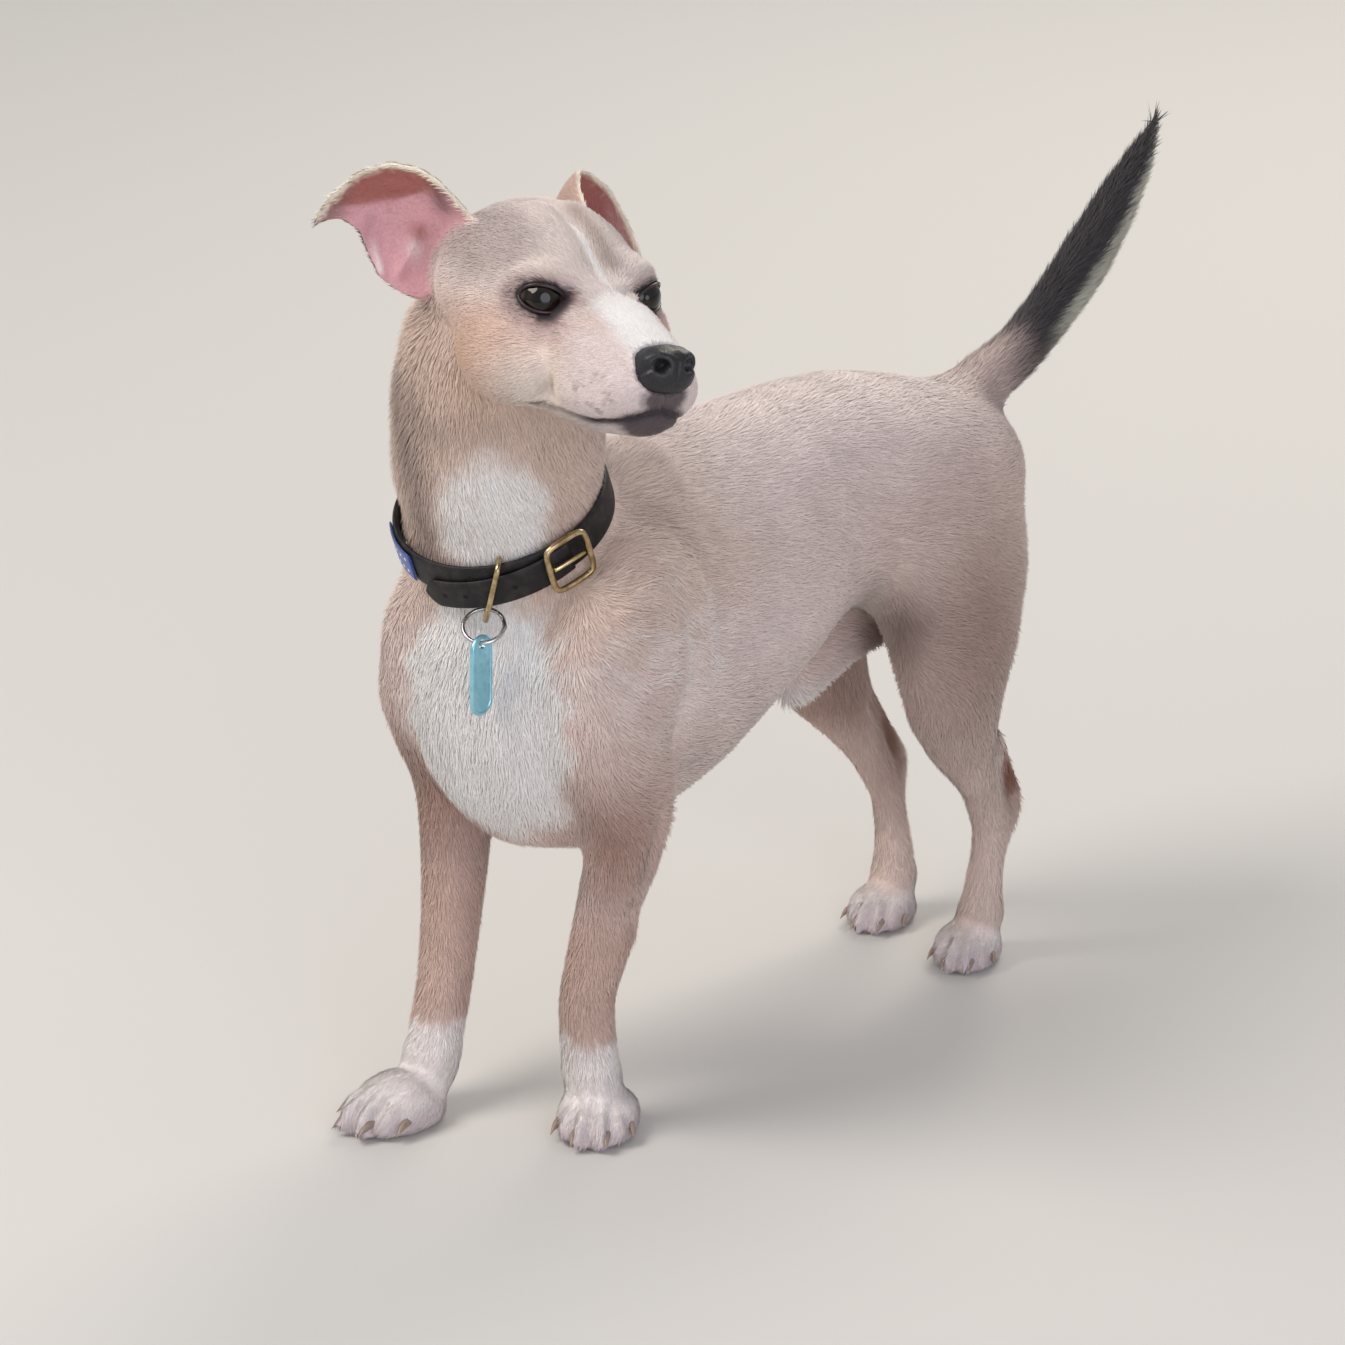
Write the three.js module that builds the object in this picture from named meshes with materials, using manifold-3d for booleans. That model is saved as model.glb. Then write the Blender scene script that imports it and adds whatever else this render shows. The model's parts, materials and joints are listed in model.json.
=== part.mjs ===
// A small smooth-coated dog, standing still with its head turned to its left, in a leather collar.
// Millimetres. The dog faces -Y, its left is +X, up is +Z, and its paws stand on z = 0.
import * as THREE from "three";
import { mergeVertices } from "three/addons/utils/BufferGeometryUtils.js";
import Module from "manifold-3d";

const wasm = await Module();
wasm.setup();

// ---- Driving sizes -------------------------------------------------------------------------------
const GAP = 0.3; // between neighbouring solids
const FACET = 1.65; // how far a facet may stray from the full curve
const PAW_CUT = 30; // height of the wrist-side end of a forepaw
const HIND_PAW_CUT = 26;
const ELBOW_CUT = 128;
const SHOULDER_CUT = 196;
const HOCK_CUT = 88;
const KNEE_CUT = 138;
const HIP_CUT = 196;
const EYE_RADIUS = 10.5;
const COLLAR = {
  centre: [-11, -134, 284],
  pitch: 24, // degrees that the loop's front hangs below its back
  roll: 3,
  halfWidth: 46,
  halfDepth: 46,
  thick: 2.8,
  wide: 17,
};
const HEAD = { origin: [65.8, -159.1, 402.9], yaw: 73.6, pitch: 6.2, roll: 8.6 };
const MIDDLE = [28.4, 45.7]; // the whole model's middle on the floor, which becomes the origin

const X = new THREE.Vector3(1, 0, 0);
const Z = new THREE.Vector3(0, 0, 1);
const RIGHT = new THREE.Vector3(0, -1, 0); // the width of what runs forward, so that its top is up
const rad = THREE.MathUtils.degToRad;

// ---- Solids and meshes ---------------------------------------------------------------------------
function solidOf(geometry) {
  const bare = geometry.clone();
  bare.deleteAttribute("normal");
  bare.deleteAttribute("uv");
  const merged = mergeVertices(bare, 1e-3);
  const mesh = new wasm.Mesh({
    numProp: 3,
    vertProperties: merged.attributes.position.array,
    triVerts: new Uint32Array(merged.index.array),
  });
  mesh.merge();
  return new wasm.Manifold(mesh);
}

// A closed body from points and faces, turned to face out.
function closed(points, faces) {
  const geometry = new THREE.BufferGeometry().setFromPoints(points);
  geometry.setIndex(faces);
  const solid = solidOf(geometry);
  if (solid.volume() > 0) return solid;
  geometry.setIndex(faces.reverse());
  return solidOf(geometry);
}

function joined(solids) {
  return solids.reduce((sum, next) => sum.add(next));
}

// The largest body of a solid, without the slivers that a cut can leave beside it.
function mainBody(solid) {
  return solid.decompose().reduce((best, next) => (next.volume() > best.volume() ? next : best));
}

const part = new THREE.Group();

function addNode(name, solid, colour, roughness, metalness = 0) {
  const { vertProperties, numProp, triVerts } = mainBody(solid).simplify(GAP / 2).getMesh();
  const positions = new Float32Array(triVerts.length * 3);
  triVerts.forEach((corner, i) => {
    positions.set(vertProperties.subarray(corner * numProp, corner * numProp + 3), i * 3);
  });
  const geometry = new THREE.BufferGeometry();
  geometry.setAttribute("position", new THREE.BufferAttribute(positions, 3));
  geometry.computeVertexNormals();
  const material = new THREE.MeshStandardMaterial({ color: colour, roughness, metalness });
  const mesh = new THREE.Mesh(geometry, material);
  mesh.name = name;
  part.add(mesh);
}

// ---- Lofts ---------------------------------------------------------------------------------------
// Catmull-Rom value at t (0 to 1) through rows of numbers.
function rowAt(rows, t) {
  const place = t * (rows.length - 1);
  const i = Math.min(Math.floor(place), rows.length - 2);
  const f = place - i;
  const [a, b, c, d] = [i - 1, i, i + 1, i + 2].map(
    (j) => rows[THREE.MathUtils.clamp(j, 0, rows.length - 1)],
  );
  return b.map((_, k) => {
    const bend = 2 * a[k] - 5 * b[k] + 4 * c[k] - d[k];
    const twist = 3 * (b[k] - c[k]) + d[k] - a[k];
    return b[k] + 0.5 * f * (c[k] - a[k] + f * (bend + f * twist));
  });
}

// A closed body round a path. Each row is x, y, z, half width, reach above, reach below, and the
// section is an oval (squarer for a higher power, which `crown` sets for its upper half) set square
// to the path, its width along `across`.
function loft(rows, { across = X, sides = 20, rings = 20, power = 2.1, crown = power, grow = 0 }) {
  const points = [];
  const centres = [];
  for (let i = 0; i <= rings; i++) {
    const row = rowAt(rows, i / rings);
    const before = rowAt(rows, Math.max(i / rings - 0.01, 0));
    const after = rowAt(rows, Math.min(i / rings + 0.01, 1));
    const centre = new THREE.Vector3(row[0], row[1], row[2]);
    const along = new THREE.Vector3(
      after[0] - before[0],
      after[1] - before[1],
      after[2] - before[2],
    ).normalize();
    const wide = across.clone().addScaledVector(along, -across.dot(along)).normalize();
    const high = new THREE.Vector3().crossVectors(wide, along);
    centres.push(centre);
    for (let k = 0; k < sides; k++) {
      const angle = (2 * Math.PI * k) / sides;
      const c = Math.cos(angle);
      const s = Math.sin(angle);
      const reach = s > 0 ? row[4] : row[5];
      const bend = 2 / (s > 0 ? crown : power);
      const w = Math.sign(c) * Math.abs(c) ** bend * (Math.max(row[3], 0.5) + grow);
      const h = Math.sign(s) * Math.abs(s) ** bend * (Math.max(reach, 0.5) + grow);
      points.push(centre.clone().addScaledVector(wide, w).addScaledVector(high, h));
    }
  }
  const first = points.length;
  points.push(centres[0], centres[rings]);
  const faces = [];
  for (let k = 0; k < sides; k++) {
    const next = (k + 1) % sides;
    for (let i = 0; i < rings; i++) {
      const [p, q, r, s] = [i * sides + k, i * sides + next, (i + 1) * sides + next, (i + 1) * sides + k];
      faces.push(p, r, q, p, s, r);
    }
    faces.push(first, k, next, first + 1, rings * sides + next, rings * sides + k);
  }
  return closed(points, faces);
}

function ellipsoid(centre, radii, turn = [0, 0, 0], detail = 8) {
  const ball = new THREE.SphereGeometry(1, detail, Math.round(detail * 0.7));
  ball.scale(...radii);
  ball.rotateX(rad(turn[0])).rotateY(rad(turn[1])).rotateZ(rad(turn[2]));
  return solidOf(ball.translate(...centre));
}

function box(low, high) {
  const size = high.map((value, i) => value - low[i]);
  const block = new THREE.BoxGeometry(...size);
  return solidOf(block.translate(...high.map((value, i) => (value + low[i]) / 2)));
}

// ---- Head, in its own axes: x forward, y to the dog's left, z up, from between the eyes -----------
function headMatrix() {
  const yaw = rad(HEAD.yaw);
  const pitch = rad(HEAD.pitch);
  const roll = rad(HEAD.roll);
  const forward = new THREE.Vector3(
    Math.sin(yaw) * Math.cos(pitch),
    -Math.cos(yaw) * Math.cos(pitch),
    Math.sin(pitch),
  );
  const level = new THREE.Vector3(Math.cos(yaw), Math.sin(yaw), 0);
  const raised = new THREE.Vector3().crossVectors(forward, level);
  const left = level.multiplyScalar(Math.cos(roll)).addScaledVector(raised, -Math.sin(roll));
  const up = new THREE.Vector3().crossVectors(forward, left);
  return new THREE.Matrix4().makeBasis(forward, left, up).setPosition(...HEAD.origin);
}

const headFrame = headMatrix();

function inHead(solid) {
  return solid.transform(headFrame.elements);
}

// x, y, z, half width, above, below
const skullRows = [
  [-94, 0, 0, 12, 12, 10],
  [-82, 0, -1, 33, 28, 25],
  [-63, 0, -2, 43, 38, 32],
  [-42, 0, -4, 45, 41, 35],
  [-22, 0, -7, 42, 34, 33.5],
  [-6, 0, -11, 38, 24, 26.5],
  [7, 0, -18, 31.5, 22.5, 22],
  [20, 0, -23, 25.5, 23, 18],
  [34, 0, -27, 23.5, 22, 16.5],
  [46, 0, -29, 22, 18, 14.5],
  [54, 0, -31, 18.5, 14, 12.5],
  [59.5, 0, -32, 12, 10, 8.5],
  [61.5, 0, -32, 4, 3, 3],
];
const SKULL_SHAPE = { across: RIGHT, sides: 16, rings: 12, power: 1.9, crown: 2.05 };
const jawRows = [
  [-30, 0, -38, 28, 17, 10],
  [-8, 0, -41, 25, 16, 10],
  [12, 0, -44, 21, 13.5, 8],
  [32, 0, -46, 17.5, 12, 7],
  [45, 0, -46, 15, 11, 6],
  [53, 0, -45, 11, 9, 5],
  [57.5, 0, -44, 4, 4, 3],
];

// Rounded forms on each side of the head, given for the left: centre, radii, turn.
const headForms = {
  cheek: [[-26, 24, -24], [36, 24, 27], [0, 10, 8]],
  brow: [[-9, 21, 6], [15, 15.5, 12], [0, 16, 20]],
  lip: [[34, 14, -34], [27, 13, 14], [0, -5, -8]],
};

function headSolid() {
  const pieces = [
    loft(skullRows, SKULL_SHAPE),
    loft(jawRows, { across: RIGHT, sides: 12, rings: 7, power: 2.2 }),
  ];
  for (const side of [-1, 1]) {
    for (const [[x, y, z], radii, [rx, ry, rz]] of Object.values(headForms)) {
      pieces.push(ellipsoid([x, side * y, z], radii, [rx, ry, side * rz]));
    }
  }
  return [-1, 1].map(eyeOpening).reduce((rest, opening) => rest.subtract(opening), joined(pieces));
}

const noseRows = [
  [45.5, 0, -22.2, 8.5, 6, 5.5],
  [50.5, 0, -22.2, 12.8, 9.3, 7.5],
  [57.5, 0, -22.8, 14, 11.6, 10],
  [62.5, 0, -23.6, 12.8, 11.2, 9.2],
  [66, 0, -24.6, 8.6, 8.3, 6.8],
  [67.5, 0, -25, 3.2, 3, 2.5],
];

function noseSolid(grow) {
  return loft(noseRows, { across: RIGHT, sides: 12, rings: 5, power: 2.4, grow });
}

const NOSTRIL = { centre: [65.8, 6.6, -19.6], radii: [5, 3, 2.6], turn: 35 };

function nostril(side) {
  const [x, y, z] = NOSTRIL.centre;
  return ellipsoid([x, side * y, z], NOSTRIL.radii, [-side * NOSTRIL.turn, 0, side * NOSTRIL.turn], 6);
}

const EYE = { centre: [-5.5, 23.5, -0.5], gaze: 30, opening: [11, 13.5, 7.6], ahead: 11, tilt: 6 };

function eyeball(side, radius) {
  const [x, y, z] = EYE.centre;
  return ellipsoid([x, side * y, z], [radius, radius, radius], [0, 0, 0], 10);
}

// The almond between the lids, cut out of the face in front of the eyeball.
function eyeOpening(side) {
  const [x, y, z] = EYE.centre;
  const turn = rad(EYE.gaze);
  const place = [x + EYE.ahead * Math.cos(turn), side * (y + EYE.ahead * Math.sin(turn)), z + 0.5];
  return ellipsoid(place, EYE.opening, [side * -EYE.tilt, 0, side * EYE.gaze]);
}

// An ear is a thin bent leaf between a front edge and a rear edge, cupped away from the face.
const EAR_THICK = 2.2;
const earShapes = {
  right: {
    front: [
      [-50, -30, 24],
      [-55, -43, 38],
      [-62, -52, 46],
      [-77, -62, 47],
      [-89, -74, 37],
      [-96, -83, 20],
    ],
    rear: [
      [-76, -38, -12],
      [-84, -50, -9],
      [-89, -58, 2],
      [-90, -66, 17],
      [-94, -75, 21],
      [-98, -82, 17],
    ],
    cup: [-0.83, 0.5, 0.05],
  },
  left: {
    front: [
      [-50, 30, 24],
      [-66, 33, 35],
      [-84, 42, 43],
      [-88, 53.5, 39],
      [-88, 64, 30],
      [-85, 77, 5],
    ],
    rear: [
      [-77, 38, -12],
      [-90, 44, -8],
      [-98, 52, 2],
      [-97, 63, 10],
      [-92, 71, 8],
      [-86, 77, 0],
    ],
    cup: [-0.83, -0.5, 0.05],
  },
};
const earDepth = [[13], [13], [11], [7], [3.5], [0.5]];

function earSolid({ front, rear, cup }) {
  const across = 6;
  const along = 7;
  const back = new THREE.Vector3(...cup).normalize();
  const inner = [];
  for (let j = 0; j <= along; j++) {
    const a = new THREE.Vector3(...rowAt(front, j / along));
    const b = new THREE.Vector3(...rowAt(rear, j / along));
    const [depth] = rowAt(earDepth, j / along);
    for (let i = 0; i <= across; i++) {
      const hollow = depth * Math.sin((Math.PI * i) / across) ** 0.8;
      inner.push(a.clone().lerp(b, i / across).addScaledVector(back, hollow));
    }
  }
  const at = (i, j) => j * (across + 1) + i;
  const sheet = [];
  for (let j = 0; j < along; j++) {
    for (let i = 0; i < across; i++) {
      sheet.push(at(i, j), at(i + 1, j), at(i + 1, j + 1), at(i, j), at(i + 1, j + 1), at(i, j + 1));
    }
  }
  const flat = new THREE.BufferGeometry().setFromPoints(inner);
  flat.setIndex(sheet);
  flat.computeVertexNormals();
  const normals = flat.getAttribute("normal");
  const facing = new THREE.Vector3().fromBufferAttribute(normals, at(3, 2)).dot(back) > 0 ? 1 : -1;
  const outer = inner.map((point, i) =>
    point.clone().addScaledVector(new THREE.Vector3().fromBufferAttribute(normals, i), facing * EAR_THICK),
  );
  const count = inner.length;
  const faces = [...sheet];
  for (let i = 0; i < sheet.length; i += 3) {
    faces.push(sheet[i] + count, sheet[i + 2] + count, sheet[i + 1] + count);
  }
  const rim = [];
  for (let i = 0; i < across; i++) rim.push(at(i, 0));
  for (let j = 0; j < along; j++) rim.push(at(across, j));
  for (let i = across; i > 0; i--) rim.push(at(i, along));
  for (let j = along; j > 0; j--) rim.push(at(0, j));
  rim.forEach((p, i) => {
    const q = rim[(i + 1) % rim.length];
    faces.push(p, q + count, q, p, p + count, q + count);
  });
  return closed([...inner, ...outer], faces);
}

// ---- Neck and trunk ------------------------------------------------------------------------------
const neckRows = [
  [0, -78, 232, 50, 52, 52],
  [-6, -104, 252, 50, 52, 54],
  [-10, -126, 274, 47, 47, 49],
  [-11, -137, 305, 46, 45, 47],
  [-8, -140, 340, 46, 44, 48],
  [-2, -143, 368, 42, 40, 44],
  [6, -145, 388, 30, 30, 32],
];
const NECK_SHAPE = { sides: 16, rings: 6 };
const trunkRows = [
  [-3, -172, 214, 8, 9, 10],
  [-3, -167, 213, 27, 27, 32],
  [-3, -156, 211, 46, 48, 57],
  [-3, -140, 209, 58, 68, 76],
  [-2, -120, 208, 65, 84, 85],
  [-1, -95, 210, 68, 92, 84],
  [0, -60, 212, 69, 90, 72],
  [0, -20, 218, 64, 82, 57],
  [0, 20, 227, 56, 76, 47],
  [0, 55, 235, 51, 67, 46],
  [0, 90, 238, 56, 58, 54],
  [0, 125, 234, 59, 51, 60],
  [0, 155, 227, 52, 47, 57],
  [0, 176, 222, 36, 38, 42],
  [0, 188, 218, 14, 16, 18],
];

function shoulder(side) {
  return ellipsoid([side * 44, -117, 222], [29, 44, 62], [-14, side * 4, side * -6], 10);
}

function haunch(side) {
  return ellipsoid([side * 38, 116, 207], [28, 48, 60], [18, 0, side * -4], 10);
}

const sheathRows = [
  [0, 42, 150, 4.5, 5, 4.5],
  [0, 46, 150, 8, 30, 8],
  [0, 56, 152, 10, 42, 9.5],
  [0, 74, 160, 11, 36, 10.5],
  [0, 95, 169, 12, 22, 12],
  [0, 114, 172, 15, 16, 15],
  [0, 132, 178, 13, 12, 11],
];

// ---- Legs: each row is x, y, z, half width, reach back, reach forward ------------------------------
const foreLegs = {
  left: [
    [40, -126, 245, 20, 24, 26],
    [48, -134, 215, 24, 28, 34],
    [53, -128, 180, 23, 25, 31],
    [52, -121, 152, 20, 20, 25],
    [47, -123, 125, 17, 17, 18],
    [40, -127, 95, 14.5, 15, 14.5],
    [32, -128, 66, 13, 13, 13],
    [31, -128, 48, 13.5, 13, 12.5],
    [34, -128, 26, 15, 14, 12],
    [36, -127, 12, 13, 10, 10],
  ],
  right: [
    [-42, -126, 245, 20, 24, 26],
    [-50, -134, 215, 24, 28, 34],
    [-54, -126, 180, 23, 25, 31],
    [-54, -119, 152, 20, 20, 25],
    [-52, -122, 125, 17, 17, 18],
    [-48, -130, 92, 14.5, 15, 14.5],
    [-42, -141, 62, 13, 13, 13],
    [-39, -148, 46, 13.5, 13, 12.5],
    [-37, -158, 26, 15, 14, 12],
    [-36, -163, 12, 13, 10, 10],
  ],
};
const hindLegs = {
  left: [
    [38, 105, 230, 22, 38, 44],
    [42, 103, 200, 23, 54, 33],
    [46, 104, 170, 21, 53, 28],
    [47, 108, 142, 17, 45, 25],
    [46, 118, 118, 13, 29, 18],
    [43, 133, 98, 9.5, 17, 12],
    [41, 146, 80, 9, 12, 13],
    [39, 150, 62, 8.5, 9.5, 9],
    [37, 150, 40, 9.5, 9.5, 8.5],
    [36, 148, 22, 12, 11, 10],
    [36, 146, 12, 11, 9, 9],
  ],
  right: [
    [-38, 107, 230, 22, 38, 44],
    [-42, 106, 200, 23, 52, 37],
    [-45, 108, 170, 21, 51, 33],
    [-45, 114, 142, 17, 43, 26],
    [-43, 126, 118, 13, 33, 17],
    [-38, 141, 98, 9.5, 20, 12],
    [-34, 154, 80, 9, 12, 13],
    [-31, 159, 62, 8.5, 9.5, 9],
    [-29, 161, 40, 9.5, 9.5, 8.5],
    [-27, 160, 22, 12, 11, 10],
    [-27, 158, 12, 11, 9, 9],
  ],
};

// The tendon and heel bone behind a hock, from the calf down to the pastern.
function heel([x, y, z], lean) {
  const rows = [
    [x + lean, y - 20, z + 46, 3, 5, 3],
    [x + lean * 0.6, y - 12, z + 28, 3.4, 8, 4],
    [x + lean * 0.2, y - 6, z + 13, 4, 9, 4.5],
    [x, y - 3, z + 2, 5.2, 9, 5],
    [x - 1, y - 7, z - 9, 5.5, 8, 4.5],
    [x - 2, y - 13, z - 26, 4, 4, 3],
  ];
  return loft(rows, { sides: 7, rings: 6 });
}

// A paw round its own middle with its toes towards -Y: a low dome on a flat sole, its front edge
// drawn into four toes with grooves between them, then turned and put in place.
const PAW = { front: 29, back: 23, halfWidth: 19, toeSpread: 27, toeBulge: 0.07, groove: 0.2 };
// share of the outline, height
const pawProfile = [
  [0.8, 0],
  [0.97, 3],
  [1, 7.5],
  [0.95, 12],
  [0.8, 16],
  [0.5, 21],
];

function paw([x, y], turn, size) {
  const around = 28;
  const points = [new THREE.Vector3(0, 0, 0)];
  const faces = [];
  for (const [share, height] of pawProfile) {
    for (let k = 0; k < around; k++) {
      const angle = (360 * k) / around - 180;
      const toward = Math.cos(rad(angle));
      const long = toward > 0 ? PAW.front : PAW.back;
      const edge = 1 / Math.hypot(Math.sin(rad(angle)) / PAW.halfWidth, toward / long);
      const toes = THREE.MathUtils.smoothstep(toward, 0.2, 0.5);
      const lobe = toes * Math.cos(rad((angle / PAW.toeSpread - 0.5) * 360));
      const reach = share * edge * (1 + PAW.toeBulge * lobe * share);
      const rise = height * (1 - toes * 0.12 + PAW.groove * Math.min(lobe, 0.4) * share);
      points.push(new THREE.Vector3(reach * Math.sin(rad(angle)), -reach * toward, rise));
    }
  }
  const crown = points.length;
  points.push(new THREE.Vector3(0, 0, 24));
  for (let k = 0; k < around; k++) {
    const next = (k + 1) % around;
    const last = 1 + (pawProfile.length - 1) * around;
    faces.push(0, 1 + k, 1 + next, crown, last + next, last + k);
    for (let i = 0; i < pawProfile.length - 1; i++) {
      const [p, q] = [1 + i * around + k, 1 + i * around + next];
      faces.push(p, q + around, q, p, p + around, q + around);
    }
  }
  const pieces = [closed(points, faces)];
  for (const toe of [-1.5, -0.5, 0.5, 1.5]) {
    const angle = rad(toe * PAW.toeSpread);
    const edge = 1 / Math.hypot(Math.sin(angle) / PAW.halfWidth, Math.cos(angle) / PAW.front);
    const claw = new THREE.ConeGeometry(2.1, 12, 4).rotateX(rad(201)).translate(0, -2.5, 6);
    claw.rotateZ(angle * 0.45).translate(edge * Math.sin(angle), -edge * Math.cos(angle), 0);
    pieces.push(solidOf(claw));
  }
  return joined(pieces)
    .scale([size, size, size])
    .rotate([0, 0, turn])
    .translate([x, y, 0]);
}

// ---- Tail ----------------------------------------------------------------------------------------
const tailRows = [
  [2, 140, 255, 20, 20, 20],
  [3, 164, 264, 16.5, 16, 17],
  [4, 190, 272, 12.5, 12, 14],
  [5, 215, 284, 11, 10, 13],
  [6, 240, 302, 11, 10, 15],
  [7, 262, 322, 11, 9.5, 15],
  [8, 280, 341, 9.5, 8.5, 12],
  [9, 295, 359, 7, 6.5, 8.5],
  [9, 304, 371, 3.5, 3.5, 4.5],
  [9, 308, 377, 1, 1, 1],
];

// ---- Collar --------------------------------------------------------------------------------------
const collarFrame = new THREE.Matrix4()
  .makeRotationFromEuler(new THREE.Euler(rad(COLLAR.pitch), rad(COLLAR.roll), 0, "XYZ"))
  .setPosition(...COLLAR.centre);

function onCollar(solid) {
  return solid.transform(collarFrame.elements);
}

// A band round the neck between two angles (0 is the dog's left, -90 its front; the whole loop
// without them), `out` beyond the strap's inner face, hanging `drop` lower at its first end, which
// can be pointed.
function band({ from = 0, to = 360, out = 0, thick, wide, drop = 0, pointed = false }) {
  const whole = to - from >= 360;
  const steps = Math.max(6, Math.round((to - from) / 12));
  const count = whole ? steps : steps + 1;
  const points = [];
  for (let i = 0; i < count; i++) {
    const share = i / steps;
    const angle = rad(from + (to - from) * share);
    const half = (wide / 2) * (pointed ? Math.min(1, 0.25 + i * 0.5) : 1);
    const middle = -drop * (1 - share);
    for (const [grow, z] of [
      [out, middle - half],
      [out + thick, middle - half],
      [out + thick, middle + half],
      [out, middle + half],
    ]) {
      const across = (COLLAR.halfWidth + grow) * Math.cos(angle);
      points.push(new THREE.Vector3(across, (COLLAR.halfDepth + grow) * Math.sin(angle), z));
    }
  }
  const faces = [];
  for (let i = 0; i < (whole ? count : count - 1); i++) {
    const next = (i + 1) % count;
    for (let k = 0; k < 4; k++) {
      const turned = (k + 1) % 4;
      const [p, q, r, s] = [i * 4 + k, i * 4 + turned, next * 4 + turned, next * 4 + k];
      faces.push(p, r, q, p, s, r);
    }
  }
  if (!whole) {
    const last = (count - 1) * 4;
    faces.push(0, 1, 2, 0, 2, 3, last, last + 2, last + 1, last, last + 3, last + 2);
  }
  return closed(points, faces);
}

// A closed loop of round wire through points in the XY plane.
function hoop(outline, radius, sides = 6) {
  const points = [];
  const faces = [];
  outline.forEach((point, i) => {
    const before = outline[(i + outline.length - 1) % outline.length];
    const after = outline[(i + 1) % outline.length];
    const along = new THREE.Vector2().subVectors(after, before).normalize();
    for (let k = 0; k < sides; k++) {
      const angle = (2 * Math.PI * k) / sides;
      const aside = radius * Math.cos(angle);
      points.push(
        new THREE.Vector3(point.x + along.y * aside, point.y - along.x * aside, radius * Math.sin(angle)),
      );
      const next = (i + 1) % outline.length;
      const turned = (k + 1) % sides;
      const [p, q, r, s] = [i * sides + k, i * sides + turned, next * sides + turned, next * sides + k];
      faces.push(p, r, q, p, s, r);
    }
  });
  return closed(points, faces);
}

// Points round a rectangle with round corners.
function roundedOutline(width, height, corner, perCorner = 4) {
  const points = [];
  for (let quarter = 0; quarter < 4; quarter++) {
    const sx = quarter === 0 || quarter === 3 ? 1 : -1;
    const sy = quarter < 2 ? 1 : -1;
    for (let i = 0; i <= perCorner; i++) {
      const angle = (Math.PI / 2) * (quarter + i / perCorner);
      points.push(
        new THREE.Vector2(
          sx * (width / 2 - corner) + corner * Math.cos(angle),
          sy * (height / 2 - corner) + corner * Math.sin(angle),
        ),
      );
    }
  }
  return points;
}

// Puts a solid made round the origin on the strap: x along it, y across it, z straight out.
function onStrap(solid, angle, out, lower = 0) {
  const a = rad(angle);
  const along = new THREE.Vector3(-Math.sin(a), Math.cos(a), 0);
  const outward = new THREE.Vector3(Math.cos(a), Math.sin(a), 0);
  const place = new THREE.Matrix4().makeBasis(along, Z, outward);
  place.setPosition((COLLAR.halfWidth + out) * outward.x, (COLLAR.halfDepth + out) * outward.y, -lower);
  return onCollar(solid.transform(place.elements));
}

const LOOSE_END = { from: -97, to: -14, thick: 2.2, wide: 15, drop: 8, out: COLLAR.thick + GAP };
const BUCKLE = { angle: -17, length: 21, width: 24, wire: 1.5, prong: 1.1 };
const BUCKLE_OUT = LOOSE_END.out + LOOSE_END.thick + GAP + BUCKLE.wire;
const LINK = { angle: -58, width: 9.6, height: 31.9, wire: 1.3, lower: 4.2, tilt: -24 };
const RING = { radius: 9.4, wire: 1, lean: 54, outward: 3.6, slack: 1.3 };
const TAG = { height: 37, width: 14, thick: 2.2, hole: 2.4, holeBelow: 4, turn: 62 };
const BLUE_BAND = { from: -139, to: -106, thick: 1.2, wide: 14.5 };

function linkSolid(grow) {
  const outline = roundedOutline(LINK.width, LINK.height, 3, 2);
  const wire = hoop(outline, LINK.wire + grow).rotate([0, 90, LINK.tilt]);
  return onStrap(wire, LINK.angle, (COLLAR.thick + LOOSE_END.thick + GAP) / 2, LINK.lower);
}

function buckleSolid() {
  const frame = hoop(roundedOutline(BUCKLE.length, BUCKLE.width, 4, 2), BUCKLE.wire);
  return onStrap(frame, BUCKLE.angle, BUCKLE_OUT);
}

function prongSolid() {
  const length = BUCKLE.length - 2 * BUCKLE.wire - 2 * GAP;
  const pin = new THREE.CylinderGeometry(BUCKLE.prong, BUCKLE.prong, length, 8);
  return onStrap(solidOf(pin.rotateZ(Math.PI / 2)), BUCKLE.angle, BUCKLE_OUT);
}

// The ring hangs on the link's lowest bar, its foot pushed forward by the chest.
const outwardAngle = rad(LINK.angle);
const outward = new THREE.Vector3(Math.cos(outwardAngle), Math.sin(outwardAngle), 0);
const barAside = (LINK.height / 2) * Math.sin(rad(LINK.tilt));
const barPlace = new THREE.Vector3(
  (COLLAR.halfWidth + 3) * outward.x - barAside * outward.y,
  (COLLAR.halfDepth + 3) * outward.y + barAside * outward.x,
  -LINK.lower - (LINK.height / 2) * Math.cos(rad(LINK.tilt)),
).applyMatrix4(collarFrame);

function ringCentre() {
  const lean = rad(RING.lean);
  const reach = RING.radius - (RING.wire + LINK.wire + RING.slack) / Math.cos(lean);
  return barPlace
    .clone()
    .addScaledVector(outward, RING.outward + reach * Math.sin(lean))
    .addScaledVector(Z, -reach * Math.cos(lean));
}

function ringSolid(grow) {
  const outline = roundedOutline(2 * RING.radius, 2 * RING.radius, RING.radius, 3);
  const lean = new THREE.Vector3(0, 0, 0)
    .addScaledVector(Z, Math.cos(rad(RING.lean)))
    .addScaledVector(outward, -Math.sin(rad(RING.lean)));
  const along = new THREE.Vector3().crossVectors(Z, outward);
  const place = new THREE.Matrix4().makeBasis(along, lean, new THREE.Vector3().crossVectors(along, lean));
  place.setPosition(ringCentre());
  return hoop(outline, RING.wire + grow).transform(place.elements);
}

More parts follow.
